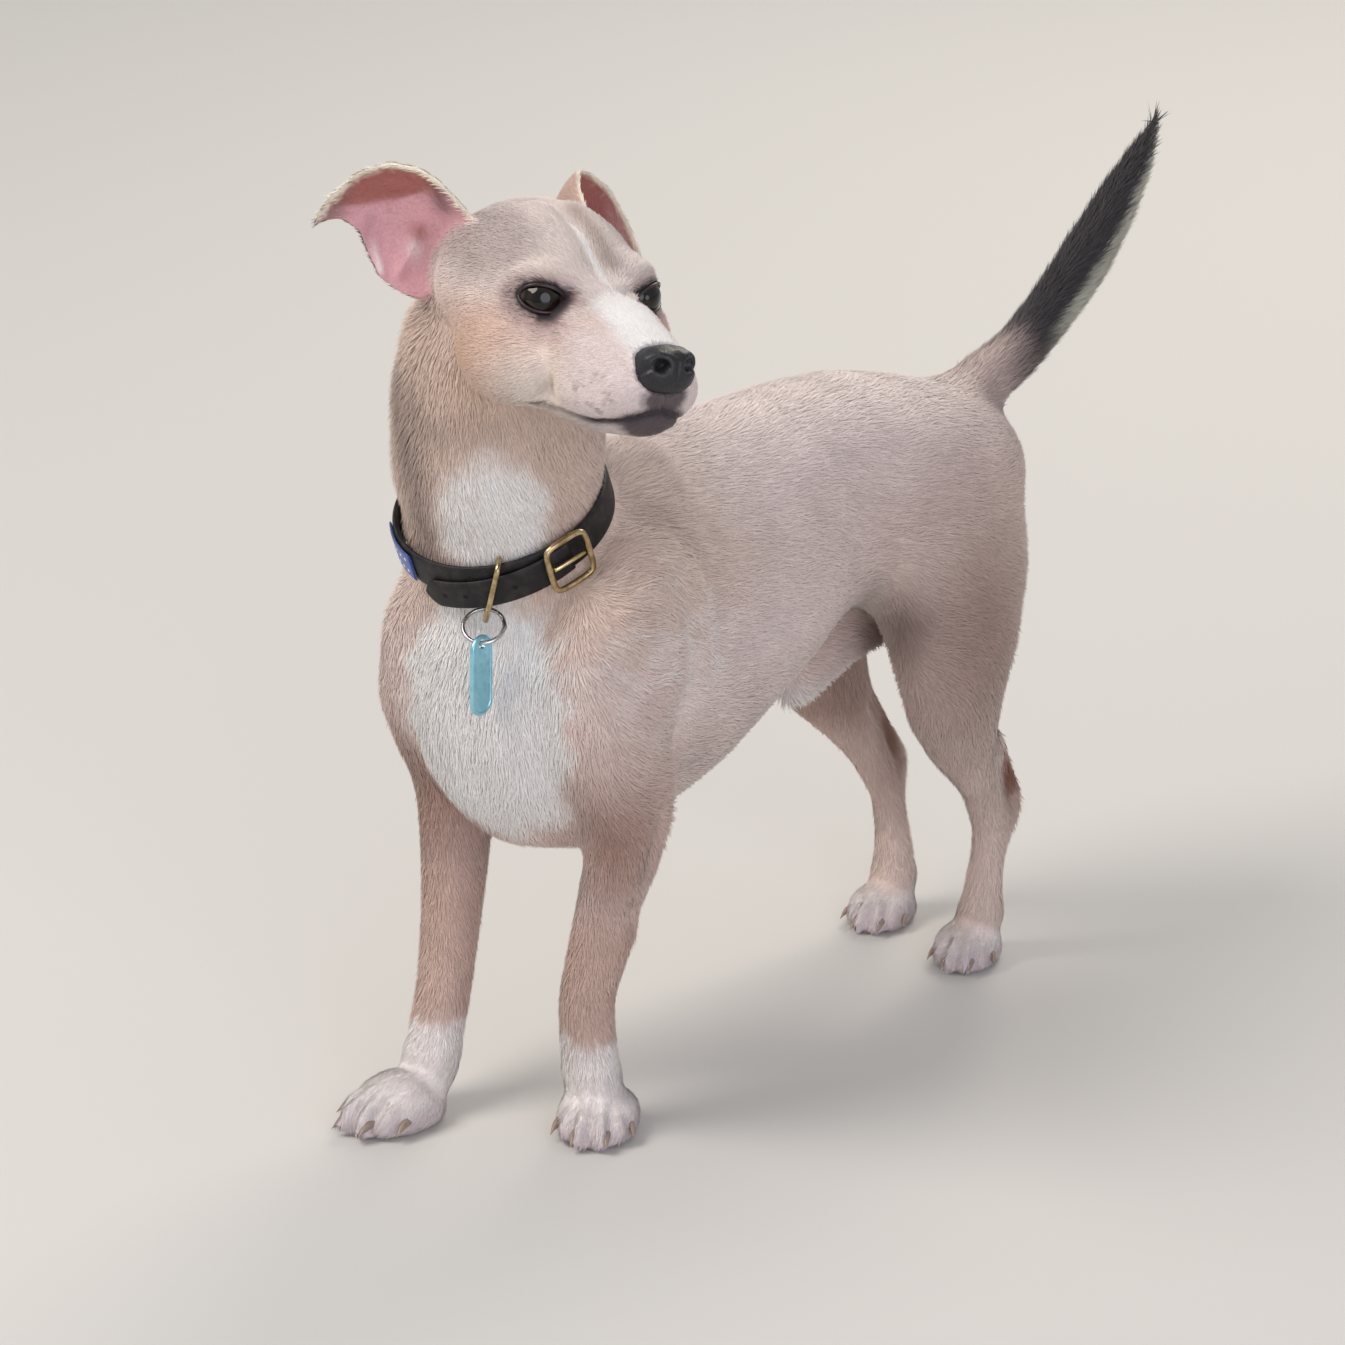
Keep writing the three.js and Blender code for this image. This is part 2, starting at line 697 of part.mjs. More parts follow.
function tagSolid() {
  const shape = new THREE.Shape(roundedOutline(TAG.width, TAG.height, TAG.width / 2 - 0.1, 5));
  const holeHeight = TAG.height / 2 - TAG.holeBelow;
  shape.holes.push(new THREE.Path().absarc(0, holeHeight, TAG.hole, 0, 2 * Math.PI));
  const plate = new THREE.ExtrudeGeometry(shape, {
    depth: TAG.thick,
    bevelEnabled: false,
    curveSegments: 5,
  });
  const foot = ringCentre()
    .addScaledVector(outward, RING.radius * Math.sin(rad(RING.lean)))
    .addScaledVector(Z, -RING.radius * Math.cos(rad(RING.lean)));
  return solidOf(plate)
    .translate([0, -holeHeight, -TAG.thick / 2])
    .rotate([90, 0, LINK.angle + 90 + TAG.turn])
    .translate(foot.toArray());
}

// ---- Assembly ------------------------------------------------------------------------------------
const FLESH = "#c9ac97";
const forePaws = { left: paw([38, -128], 33, 1), right: paw([-36, -180], -4, 1.05) };
const hindPaws = { left: paw([36, 139], 26, 0.86), right: paw([-26, 151], 20, 0.86) };

const headWhole = inHead(headSolid());
let body = joined([
  loft(trunkRows, { sides: 16, rings: 14, power: 2.15 }),
  loft(neckRows, NECK_SHAPE),
  headWhole,
  shoulder(1),
  shoulder(-1),
  haunch(1),
  haunch(-1),
  loft(sheathRows, { sides: 10, rings: 7 }),
  loft(foreLegs.left, { sides: 12, rings: 12 }),
  loft(foreLegs.right, { sides: 12, rings: 12 }),
  loft(hindLegs.left, { sides: 12, rings: 13 }),
  loft(hindLegs.right, { sides: 12, rings: 13 }),
  heel([42, 166, 72], 3),
  heel([-33, 173, 71], -10),
  forePaws.left,
  forePaws.right,
  hindPaws.left,
  hindPaws.right,
  loft(tailRows, { sides: 10, rings: 13 }),
]);
body = body.subtract(box([-200, -300, -60], [200, 300, 0])).simplify(FACET);

// Eye sockets, the bed of the nose leather and the collar's groove.
for (const side of [-1, 1]) body = body.subtract(inHead(eyeball(side, EYE_RADIUS + GAP)));
body = body.subtract(inHead(noseSolid(GAP)));
body = body.subtract(onCollar(band({ out: -GAP, thick: 16, wide: COLLAR.wide + 2 * GAP })));
body = body.subtract(linkSolid(GAP)).subtract(ringSolid(GAP));
const buckleBed = box([-14, -15, 0], [14, 15, 14]);
body = body.subtract(onStrap(buckleBed, BUCKLE.angle, LOOSE_END.out));
body = body.subtract(onCollar(band({ ...LOOSE_END, thick: 12, wide: LOOSE_END.wide + 2 * GAP })));

// A region taken off the body as a node, with the gap left round it.
function take(name, region, grown) {
  addNode(name, body.intersect(region), FLESH, 0.85);
  body = body.subtract(grown);
}

function takeBox(name, low, high, place = (solid) => solid) {
  const wider = box(
    low.map((value) => value - GAP),
    high.map((value) => value + GAP),
  );
  take(name, place(box(low, high)), place(wider));
}

// The jaw's region lies under the mouth line, and the head's is ahead of the line from throat to nape.
const jawPlace = (solid) => inHead(solid.rotate([0, -7, 0]).translate([14, 0, -47]));
const headPlace = (solid) => inHead(solid.rotate([0, 37, 0]).translate([-50, 0, -25]));
takeBox("lower_jaw", [-2, -40, -30], [80, 40, 0], jawPlace);
takeBox("head", [-70, -80, 0], [110, 80, 160], headPlace);

// Each length of leg: how near the middle its region reaches, its y range and its z range.
const LEG_FAR = 110;
const legNodes = {
  forepaw: [4, [-260, -60], [-5, PAW_CUT]],
  forearm: [4, [-200, -60], [PAW_CUT + GAP, ELBOW_CUT]],
  upper_foreleg: [36, [-200, -84], [ELBOW_CUT + GAP, SHOULDER_CUT]],
  hindpaw: [4, [60, 200], [-5, HIND_PAW_CUT]],
  hind_pastern: [4, [60, 220], [HIND_PAW_CUT + GAP, HOCK_CUT]],
  lower_hind_leg: [14, [60, 220], [HOCK_CUT + GAP, KNEE_CUT]],
  thigh: [22, [52, 220], [KNEE_CUT + GAP, HIP_CUT]],
};
const sides = { left: 1, right: -1 };
for (const [side, sign] of Object.entries(sides)) {
  for (const [name, [near, [y0, y1], [z0, z1]]] of Object.entries(legNodes)) {
    const x0 = sign > 0 ? near : -LEG_FAR;
    const x1 = sign > 0 ? LEG_FAR : -near;
    takeBox(`${name}_${side}`, [x0, y0, z0], [x1, y1, z1]);
  }
}

const tailTipPlace = (solid) => solid.rotate([40, 0, 0]).translate([6, 240, 302]);
const tailBasePlace = (solid) => solid.rotate([20, 0, 0]).translate([3, 176, 267]);
takeBox("tail_end", [-60, 0, -60], [60, 140, 60], tailTipPlace);
takeBox("tail_base", [-40, 0, -40], [40, 160, 60], tailBasePlace);
const neckPlace = (solid) => onCollar(solid.translate([0, 0, -COLLAR.wide / 2 - 1]));
takeBox("neck", [-90, -90, 0], [90, 90, 140], neckPlace);
addNode("trunk", body, FLESH, 0.85);

addNode("nose", inHead(noseSolid(0).subtract(nostril(-1)).subtract(nostril(1))), "#23222a", 0.45);
for (const [side, sign] of Object.entries(sides)) {
  addNode(`eye_${side}`, inHead(eyeball(sign, EYE_RADIUS)), "#1d1715", 0.1);
  const skull = inHead(loft(skullRows, { ...SKULL_SHAPE, grow: GAP }));
  const nape = loft(neckRows, { ...NECK_SHAPE, grow: GAP });
  const ear = inHead(earSolid(earShapes[side])).subtract(skull).subtract(nape);
  addNode(`ear_${side}`, ear, "#b98d84", 0.8);
}

addNode("collar_strap", onCollar(band({ thick: COLLAR.thick, wide: COLLAR.wide })), "#16161a", 0.55);
addNode("collar_end", onCollar(band({ ...LOOSE_END, pointed: true })), "#141417", 0.5);
addNode("collar_band", onCollar(band({ ...BLUE_BAND, out: COLLAR.thick + GAP })), "#1f4fa8", 0.7);
addNode("buckle_frame", buckleSolid(), "#b08a4a", 0.3, 1);
addNode("buckle_prong", prongSolid(), "#d2c6a8", 0.3, 1);
addNode("collar_link", linkSolid(0), "#b8944f", 0.3, 1);
addNode("split_ring", ringSolid(0), "#b9b9b4", 0.25, 1);
addNode("tag", tagSolid(), "#3fa7bd", 0.3, 0.6);

part.position.set(-MIDDLE[0], -MIDDLE[1], 0);

export default part;
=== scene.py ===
import json
import math

import bmesh
import bpy
import numpy as np
from mathutils import Matrix, Vector
from mathutils.bvhtree import BVHTree


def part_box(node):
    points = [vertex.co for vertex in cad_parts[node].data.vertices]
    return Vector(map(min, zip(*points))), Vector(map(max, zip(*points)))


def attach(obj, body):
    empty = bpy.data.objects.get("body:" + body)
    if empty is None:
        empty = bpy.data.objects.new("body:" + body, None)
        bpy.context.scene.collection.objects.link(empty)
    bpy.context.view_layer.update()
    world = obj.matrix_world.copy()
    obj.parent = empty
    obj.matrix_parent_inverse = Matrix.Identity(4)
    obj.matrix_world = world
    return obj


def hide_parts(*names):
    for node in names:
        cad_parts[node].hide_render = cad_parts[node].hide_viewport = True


# A small short-coated dog, standing with its head turned to its left, in a leather collar.
# Metres in Blender; the settings below are in millimetres unless they say otherwise.

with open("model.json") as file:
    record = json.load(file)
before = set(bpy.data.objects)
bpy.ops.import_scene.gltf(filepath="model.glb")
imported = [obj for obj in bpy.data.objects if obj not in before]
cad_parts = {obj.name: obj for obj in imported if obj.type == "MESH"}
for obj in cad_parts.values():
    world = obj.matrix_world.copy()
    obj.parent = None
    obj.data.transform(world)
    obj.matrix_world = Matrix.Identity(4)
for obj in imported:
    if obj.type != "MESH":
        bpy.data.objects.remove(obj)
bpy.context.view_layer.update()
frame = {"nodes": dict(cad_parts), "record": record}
mm = 0.001
scene = bpy.context.scene
nodes = frame["nodes"]
slotOf = {part["node"]: part["material_slot"] for part in frame["record"]["subparts"]}


# Small tools

def unit(v):
    v = np.asarray(v, float)
    return v / np.maximum(np.linalg.norm(v, axis=-1, keepdims=True), 1e-12)


def smooth(low, high, x):
    t = np.clip((np.asarray(x, float) - low) / (high - low), 0, 1)
    return t * t * (3 - 2 * t)


def bell(x, middle, width):
    return np.exp(-(((np.asarray(x, float) - middle) / width) ** 2))


def boxMiddle(node):
    low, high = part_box(node)
    return np.array((low + high) / 2) / mm


def linear(colour):
    # an sRGB hex colour as the linear values that Blender's sockets take
    parts = [int(colour[i:i + 2], 16) / 255 for i in (1, 3, 5)]
    return tuple(c / 12.92 if c <= 0.04045 else ((c + 0.055) / 1.055) ** 2.4 for c in parts) + (1.0,)


def meshOf(name, points, faces):
    # a mesh from arrays, where every face has the same number of corners
    mesh = bpy.data.meshes.new(name)
    mesh.vertices.add(len(points))
    mesh.vertices.foreach_set("co", (np.asarray(points) * mm).astype(np.float32).ravel())
    mesh.loops.add(faces.size)
    mesh.loops.foreach_set("vertex_index", faces.astype(np.int32).ravel())
    mesh.polygons.add(len(faces))
    mesh.polygons.foreach_set("loop_start", np.arange(0, faces.size, faces.shape[1], dtype=np.int32))
    mesh.update(calc_edges=True)
    return mesh


def smoothObject(name, mesh):
    mesh.polygons.foreach_set("use_smooth", [True] * len(mesh.polygons))
    piece = bpy.data.objects.new(name, mesh)
    scene.collection.objects.link(piece)
    return piece


def newObject(name, points, faces):
    mesh = bpy.data.meshes.new(name)
    mesh.from_pydata([tuple(p) for p in np.asarray(points) * mm], [], faces)
    mesh.update()
    return smoothObject(name, mesh)


def fastObject(name, points, tris):
    # the same for many triangles at once
    return smoothObject(name, meshOf(name, points, tris))


def changedMesh(piece):
    # the piece's mesh with its modifiers applied; the piece itself goes
    mesh = bpy.data.meshes.new_from_object(piece.evaluated_get(bpy.context.evaluated_depsgraph_get()))
    bpy.data.objects.remove(piece)
    return mesh


def giveValues(piece, name, values):
    attribute = piece.data.attributes.new(name, "FLOAT", "POINT")
    attribute.data.foreach_set("value", np.asarray(values, np.float32))


def meshPoints(mesh):
    co = np.empty(len(mesh.vertices) * 3, np.float32)
    mesh.vertices.foreach_get("co", co)
    return co.reshape(-1, 3).astype(float) / mm


def meshTris(mesh):
    mesh.calc_loop_triangles()
    tris = np.empty(len(mesh.loop_triangles) * 3, np.int32)
    mesh.loop_triangles.foreach_get("vertices", tris)
    return tris.reshape(-1, 3)


def joinedMesh(node):
    # a node's points and triangles, with the points that share a place made one
    points, tris = meshPoints(nodes[node].data), meshTris(nodes[node].data)
    _, first, back = np.unique(np.round(points, 3), axis=0, return_index=True, return_inverse=True)
    return points[first], back.reshape(-1)[tris]


def normalsOf(points, tris):
    a, b, c = (points[tris[:, i]] for i in range(3))
    flat = np.cross(b - a, c - a)
    total = np.zeros_like(points)
    for i in range(3):
        for axis in range(3):
            total[:, axis] += np.bincount(tris[:, i], flat[:, axis], len(points))
    return unit(total)


class Neighbours:
    # averages values over each point's neighbours in a mesh
    def __init__(self, mesh):
        edges = np.empty(len(mesh.edges) * 2, np.int32)
        mesh.edges.foreach_get("vertices", edges)
        self.a, self.b = edges.reshape(-1, 2).T
        self.count = len(mesh.vertices)
        self.degree = np.maximum(np.bincount(np.concatenate([self.a, self.b]), minlength=self.count), 1)

    def mean(self, values):
        columns = []
        for column in values.reshape(self.count, -1).T:
            total = np.bincount(self.a, column[self.b], self.count)
            total += np.bincount(self.b, column[self.a], self.count)
            columns.append(total / self.degree)
        return np.stack(columns, 1).reshape(values.shape)

    def relax(self, values, rounds, amount=0.5):
        # amount may differ from point to point
        amount = np.asarray(amount, float)
        if values.ndim == 2 and amount.ndim == 1:
            amount = amount[:, None]
        for _ in range(rounds):
            values = values + amount * (self.mean(values) - values)
        return values


def waves(points, size, seed, octaves=3):
    # soft noise from -1 to 1, summed from sine waves in seeded directions
    random = np.random.default_rng(seed)
    total = np.zeros(len(points))
    weight = 0.0
    for octave in range(octaves):
        step = size / 2**octave
        for _ in range(5):
            direction = unit(random.normal(size=3)) * 2 * math.pi / step
            bend = unit(random.normal(size=3)) * 2 * math.pi / (step * 2.3)
            phase = random.uniform(0, 2 * math.pi, 2)
            sway = 1.3 * np.sin(points @ bend + phase[1])
            total += np.sin(points @ direction + phase[0] + sway) / 2**octave
        weight += 5 / 2**octave
    return np.clip(total / weight * 2.2, -1, 1)


# Camera, light and floor

# Degrees and millimetres; the stance's own point lies sideways and down from the frame's middle by what
# is given here on the sensor.
view = dict(azimuth=41.0, elevation=20.0, distance=3300.0, lens=190.0372, sensor=36.0, sideways=1.271375,
            down=9.033457, aimHeight=7.0, clipStart=0.05)
# The camera aims past the point on the floor that the dog's stance is measured from,
# which lies under its chest: the trunk's midline, this far behind the breastbone.
trunkLow, trunkHigh = (np.array(corner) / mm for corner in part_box("trunk"))
stance = dict(behindBreast=173.9, fromMiddle=0.7)


def addCamera():
    floorPoint = np.array([(trunkLow[0] + trunkHigh[0]) / 2 + stance["fromMiddle"],
                           trunkLow[1] + stance["behindBreast"], view["aimHeight"]])
    az, el = math.radians(view["azimuth"]), math.radians(view["elevation"])
    back = np.array([math.sin(az) * math.cos(el), -math.cos(az) * math.cos(el), math.sin(el)])
    right = np.array([math.cos(az), math.sin(az), 0.0])
    up = np.cross(back, right)
    ray = right * view["sideways"] / view["lens"] - up * view["down"] / view["lens"] - back
    place = floorPoint - ray * view["distance"]
    data = bpy.data.cameras.new("camera")
    data.sensor_width = view["sensor"]
    data.lens = view["lens"]
    data.clip_start = view["clipStart"]
    camera = bpy.data.objects.new("camera", data)
    turn = Matrix([right, up, back]).transposed().to_4x4()
    camera.matrix_world = Matrix.Translation(Vector(place * mm)) @ turn
    scene.collection.objects.link(camera)
    scene.camera = camera
    return floorPoint


home = addCamera() - np.array([0, 0, view["aimHeight"]])
print("camera placed, stance at", home.round(1))

studio = dict(
    key=dict(place=(-900, -1500, 2100), size=1500, power=40, colour="#fff8f0"),
    fill=dict(place=(2300, -1500, 900), size=2200, power=27, colour="#f4f4ff"),
    back=dict(place=(-700, 1900, 1700), size=1300, power=24, colour="#fff4e6"),
    world="#e4e7ec", worldStrength=0.56, floor="#d2d0cc", floorRough=0.75, floorHalf=6000,
)


def addLamp(name, place, size, power, colour):
    data = bpy.data.lights.new(name, "AREA")
    data.shape = "DISK"
    data.size = size * mm
    data.energy = power
    data.color = linear(colour)[:3]
    lamp = bpy.data.objects.new(name, data)
    lamp.location = Vector(place) * mm
    lamp.rotation_euler = (Vector((0, 0, 220)) - Vector(place)).to_track_quat("-Z", "Y").to_euler()
    scene.collection.objects.link(lamp)


def addNode(tree, kind, links=None, **settings):
    # a shader node with its settings, its inputs linked or set by name or number
    node = tree.nodes.new(kind)
    for name, value in settings.items():
        setattr(node, name, value)
    for name, value in (links or {}).items():
        if isinstance(value, bpy.types.NodeSocket):
            tree.links.new(value, node.inputs[name])
        else:
            node.inputs[name].default_value = value
    return node


def newMaterial(name, **sockets):
    material = bpy.data.materials.new(name)
    material.use_nodes = True
    shader = material.node_tree.nodes["Principled BSDF"]
    for socket, value in sockets.items():
        shader.inputs[socket.replace("_", " ")].default_value = value
    return material, material.node_tree, shader


def addStudio():
    for name in ("key", "fill", "back"):
        addLamp(name, **studio[name])
    world = bpy.data.worlds.new("soft room")
    scene.world = world
    world.use_nodes = True
    background = world.node_tree.nodes["Background"]
    background.inputs["Color"].default_value = linear(studio["world"])
    background.inputs["Strength"].default_value = studio["worldStrength"]
    half = studio["floorHalf"]
    floor = newObject("floor", [(-half, -half, 0), (half, -half, 0), (half, half, 0), (-half, half, 0)],
                      [(0, 1, 2, 3)])
    paint, _, shader = newMaterial("matt floor paint", Roughness=studio["floorRough"])
    shader.inputs["Base Color"].default_value = linear(studio["floor"])
    floor.data.materials.append(paint)
    scene.view_settings.view_transform = "Standard"


addStudio()
print("studio lit")


# The head's own axes: forward, to the dog's left, up, in millimetres from between the eyes

eyeLeft, eyeRight = boxMiddle("eye_left"), boxMiddle("eye_right")
headAim = dict(noseBelow=19.15, eyesBehind=5.5, eyesUnder=0.5)  # degrees, and the eyes from the axes' middle


def headAxes():
    left = unit(eyeLeft - eyeRight)
    ahead = boxMiddle("nose") - (eyeLeft + eyeRight) / 2
    ahead = unit(ahead - left * (ahead @ left))
    up = np.cross(ahead, left)
    tilt = math.radians(headAim["noseBelow"])
    forward = ahead * math.cos(tilt) + up * math.sin(tilt)
    axes = np.array([forward, left, np.cross(forward, left)])
    middle = (eyeLeft + eyeRight) / 2 + axes[0] * headAim["eyesBehind"] + axes[2] * headAim["eyesUnder"]
    return axes, middle


headTurn, headMiddle = headAxes()


def toHead(points):
    return (np.asarray(points) - headMiddle) @ headTurn.T


def fromHead(points):
    return np.asarray(points) @ headTurn + headMiddle


# Skin

# fine above the collar, coarser below it; the lengths overlap by this much each way under the strap before
# they are cut flat and knitted there
skin = dict(fine=1.05, coarse=1.8, bridge=0.22, faces=196000, overlap=26.0, knit=0.8)
fleshNodes = sorted(n for n in nodes if slotOf[n] in ("coat", "ear"))
filledNodes = ["eye_left", "eye_right", "nose"]  # closed over here, then pressed back under their own pieces
strap = dict(pitch=24.0, roll=3.0, radius=46.0, thick=2.8, wide=17.0)
strapMiddle = boxMiddle("collar_strap")


def strapAxes():
    pitch, roll = math.radians(strap["pitch"]), math.radians(strap["roll"])
    turn = Matrix.Rotation(pitch, 3, "X") @ Matrix.Rotation(roll, 3, "Y")
    return np.array(turn).T


strapTurn = strapAxes()


def aboveStrap(points):
    return (np.asarray(points) - strapMiddle) @ strapTurn[2]


def joinedFlesh():
    points, tris, owner = [], [], []
    count = 0
    for i, name in enumerate(fleshNodes + filledNodes):
        co, faces = joinedMesh(name)
        faces = faces[(faces != np.roll(faces, 1, axis=1)).all(1)]
        points.append(co + normalsOf(co, faces) * skin["bridge"])
        tris.append(faces + count)
        owner += [i] * len(faces)
        count += len(co)
    return np.concatenate(points), np.concatenate(tris), np.array(owner)


def remeshed(points, tris, voxel):
    rough = fastObject("rough", points, tris)
    change = rough.modifiers.new("one skin", "REMESH")
    change.mode = "VOXEL"
    change.voxel_size = voxel * mm
    return changedMesh(rough)


def quadsOf(mesh):
    corners = np.empty(len(mesh.loops), np.int32)
    mesh.loops.foreach_get("vertex_index", corners)
    return corners.reshape(-1, 4)


def keptPart(points, faces, keep):
    # the faces whose points are all kept, renumbered
    faces = faces[keep[faces].all(1)]
    used = np.zeros(len(points), bool)
    used[faces.ravel()] = True
    return points[used], (np.cumsum(used) - 1)[faces]


def giveFields(mesh):
    for name, values in fields.items():
        mesh.attributes.new(name, "FLOAT", "POINT").data.foreach_set("value", values.astype(np.float32))


def readFields(mesh):
    got = {}
    for name in fields:
        values = np.empty(len(mesh.vertices), np.float32)
        mesh.attributes[name].data.foreach_get("value", values)
        got[name] = values.astype(float)
    return got


fleshPoints, fleshTris, fleshOwner = joinedFlesh()
fleshTree = BVHTree.FromPolygons(fleshPoints.tolist(), fleshTris.tolist())


def lengthOfSkin(voxel, side):
    mesh = remeshed(fleshPoints, fleshTris, voxel)
    points = meshPoints(mesh)
    return keptPart(points, quadsOf(mesh), aboveStrap(points) * side > -skin["overlap"])


upper, upperFaces = lengthOfSkin(skin["fine"], 1)
lower, lowerFaces = lengthOfSkin(skin["coarse"], -1)
skinAt = np.concatenate([upper, lower])
skinFaces = np.concatenate([upperFaces, lowerFaces + len(upper)])
near = Neighbours(meshOf("skin", skinAt, skinFaces))
print("skin remeshed,", len(skinAt), "points")

owner = np.array([fleshOwner[fleshTree.find_nearest(Vector(p))[2]] for p in skinAt])
isNode = {name: owner == i for i, name in enumerate(fleshNodes + filledNodes)}


def inNodes(*starts):
    found = np.zeros(len(skinAt), bool)
    for name in fleshNodes + filledNodes:
        if name.startswith(starts):
            found |= isNode[name]
    return found


def softly(mask, rounds):
    return near.relax(mask.astype(float), rounds, 0.6)


onEar = softly(inNodes("ear"), 8)
onHead = softly(inNodes("head", "lower_jaw", "eye", "nose"), 12)
onPaw = softly(inNodes("forepaw", "hindpaw"), 10)
onLeg = softly(inNodes("forearm", "hind_pastern", "lower_hind_leg"), 14)
onTail = softly(inNodes("tail"), 10)
onNose = softly(inNodes("nose"), 2)

# Facets are smoothed away, and the volume that smoothing takes is then given back.
smoothing = dict(rounds=170, giveBack=90, last=4)
fine = np.arange(len(skinAt)) < len(upper)
freedom = 1 - 0.8 * onEar - 0.12 * onHead - 0.93 * onPaw - 0.45 * onLeg - 0.35 * onTail
freedom = np.clip(freedom, 0.03, 1) * np.where(fine, 0.95, 0.62)
rounded = near.relax(skinAt, smoothing["rounds"], freedom)
skinAt = rounded + near.relax(skinAt - rounded, smoothing["giveBack"], freedom)
skinAt = near.relax(skinAt, smoothing["last"], 0.5)
fields = dict(onEar=onEar, onHead=onHead, onPaw=onPaw, onLeg=onLeg, onTail=onTail, onNose=onNose,
              fine=fine.astype(float))


def knitted():
    # the two lengths cut off flat under the strap, and joined there into one skin
    both = meshOf("both lengths", skinAt, skinFaces)
    giveFields(both)
    whole = bmesh.new()
    for side in (1, -1):
        length = bmesh.new()
        length.from_mesh(both)
        layer = length.verts.layers.float["fine"]
        others = [v for v in length.verts if (v[layer] > 0.5) != (side > 0)]
        bmesh.ops.delete(length, geom=others, context="VERTS")
        place = Vector((strapMiddle + strapTurn[2] * side * skin["knit"]) * mm)
        bmesh.ops.bisect_plane(length, geom=length.verts[:] + length.edges[:] + length.faces[:], dist=1e-7,
                               plane_co=place, plane_no=Vector(strapTurn[2] * side), clear_inner=True)
        part = bpy.data.meshes.new("length")
        length.to_mesh(part)
        length.free()
        whole.from_mesh(part)
    rims = [e for e in whole.edges if e.is_boundary]
    bmesh.ops.bridge_loops(whole, edges=rims)
    bmesh.ops.triangulate(whole, faces=whole.faces[:])
    bmesh.ops.recalc_face_normals(whole, faces=whole.faces[:])
    print("open edges after knitting:", sum(e.is_boundary for e in whole.edges))
    mesh = bpy.data.meshes.new("knitted skin")
    whole.to_mesh(mesh)
    whole.free()
    return mesh


skinMesh = knitted()
fields = readFields(skinMesh)
del fields["fine"]
onEar, onHead, onPaw, onLeg, onTail, onNose = fields.values()
skinAt = meshPoints(skinMesh)
skinTris = meshTris(skinMesh)
near = Neighbours(skinMesh)
print("skin smoothed and knitted,", len(skinAt), "points")


# Sculpting: strokes along the skin's own normals, in the head's axes or the stance's

def pathDistance(points, path):
    path = np.asarray(path, float)
    best = np.full(len(points), 1e9)
    for a, b in zip(path[:-1], path[1:]):
        along = b - a
        share = np.clip((points - a) @ along / (along @ along), 0, 1)
        best = np.minimum(best, np.linalg.norm(points - a - share[:, None] * along, axis=1))
    return best


def blob(points, middle, radii):
    return np.exp(-((((points - np.asarray(middle, float)) / radii) ** 2).sum(1)))


def line(points, path, width):
    return np.exp(-((pathDistance(points, path) / width) ** 2))


earFaces = dict(left=(0.83, 0.5, -0.05), right=(0.83, -0.5, -0.05))  # the way each ear's hollow faces


def insideEar(local, facing):
    left = facing @ unit(np.array(earFaces["left"]) @ headTurn)
    right = facing @ unit(np.array(earFaces["right"]) @ headTurn)
    return smooth(0.0, 0.35, np.where(local[:, 1] > 0, left, right))


def strokes(local, table):
    # each row: path, width and height, drawn on both sides where the path leaves the middle
    total = np.zeros(len(local))
    for path, width, height in table:
        path = np.asarray(path, float)
        sides = [1, -1] if np.abs(path[:, 1]).max() > 0.1 else [1]
        far = np.min([pathDistance(local, path * (1, side, 1)) for side in sides], axis=0)
        total += height * np.exp(-((far / width) ** 2))
    return total


headForms = [
    # cheeks, temples and arches
    ([(16, 25, -37), (10, 26, -41)], 9, 2.4),
    ([(17, 22, -18), (17, 25, -32)], 6, 0.6),
    ([(5, 30, -18), (6, 29, -30), (3, 27, -42)], 7, 2.8),
    ([(2, 32, -14), (-14, 42, -15), (-30, 45, -12)], 8, 1.2),
    ([(-22, 37, 5), (-36, 42, 6)], 11, -1.6),
    ([(-58, 34, -28), (-42, 34, -46), (-22, 32, -52)], 8, 0.8),
    # brows, the furrow between them and the stop
    ([(7, 16, 8), (1, 22, 11.5), (-8, 31, 11)], 6.5, 0.2),
    ([(-34, 9, 34), (-18, 9, 26), (-4, 8, 16)], 7, 1.7),
    ([(-42, 0, 37), (-24, 0, 31), (-8, 0, 18), (3, 0, 8)], 4.2, -2.6),
    ([(11, 13, 2), (9, 17, 0)], 5, 0.8),
    # under the eyes and along the muzzle
    ([(13, 20, -8), (12, 26, -14)], 5, -0.5),
    ([(24, 19, -17), (36, 20, -24)], 8, -1.1),
    ([(50, 15, -32), (40, 19, -37)], 8, 1.3),
    ([(52, 0, -51), (44, 0, -53)], 7, 1.2),
    ([(26, 10, -55), (-4, 14, -58), (-26, 12, -57)], 12, 2.2),
]
mouthLine = [(4, 23.5, -46.0), (14, 22, -47.4), (28, 19.5, -47.3), (42, 17, -46.0), (51, 12, -43.4),
             (57, 6, -41), (59, 0, -39.6)]
mouthForms = [
    (mouthLine, 1.5, -1.9),
    ([(x - 0.5, y, z + 3.6) for x, y, z in mouthLine], 2.6, 0.8),
    ([(x - 1, y * 0.97, z - 4) for x, y, z in mouthLine[2:]], 2.8, 0.5),
    ([(63, 0, -32), (61.5, 0, -39)], 1.3, -1.2),
    ([(4, 23.5, -46), (-6, 27, -49)], 3.0, -1.0),
]


def shaped(points, tris, table, weight=1.0):
    amount = strokes(toHead(points), table) * weight
    return points + normalsOf(points, tris) * amount[:, None]


skinAt = shaped(skinAt, skinTris, headForms, smooth(0.05, 0.4, onHead))
skinAt = near.relax(skinAt, 10, 0.5 * smooth(0.1, 0.6, onHead) * (1 - onEar))
local = toHead(skinAt)
between = blob(local * (1, 0, 1) + np.abs(local) * (0, 1, 0), (8, 12, 3), (13, 12, 10))
skinAt = near.relax(skinAt, 70, 0.6 * between * smooth(0.3, 0.6, onHead))

# Feet, hocks and trunk

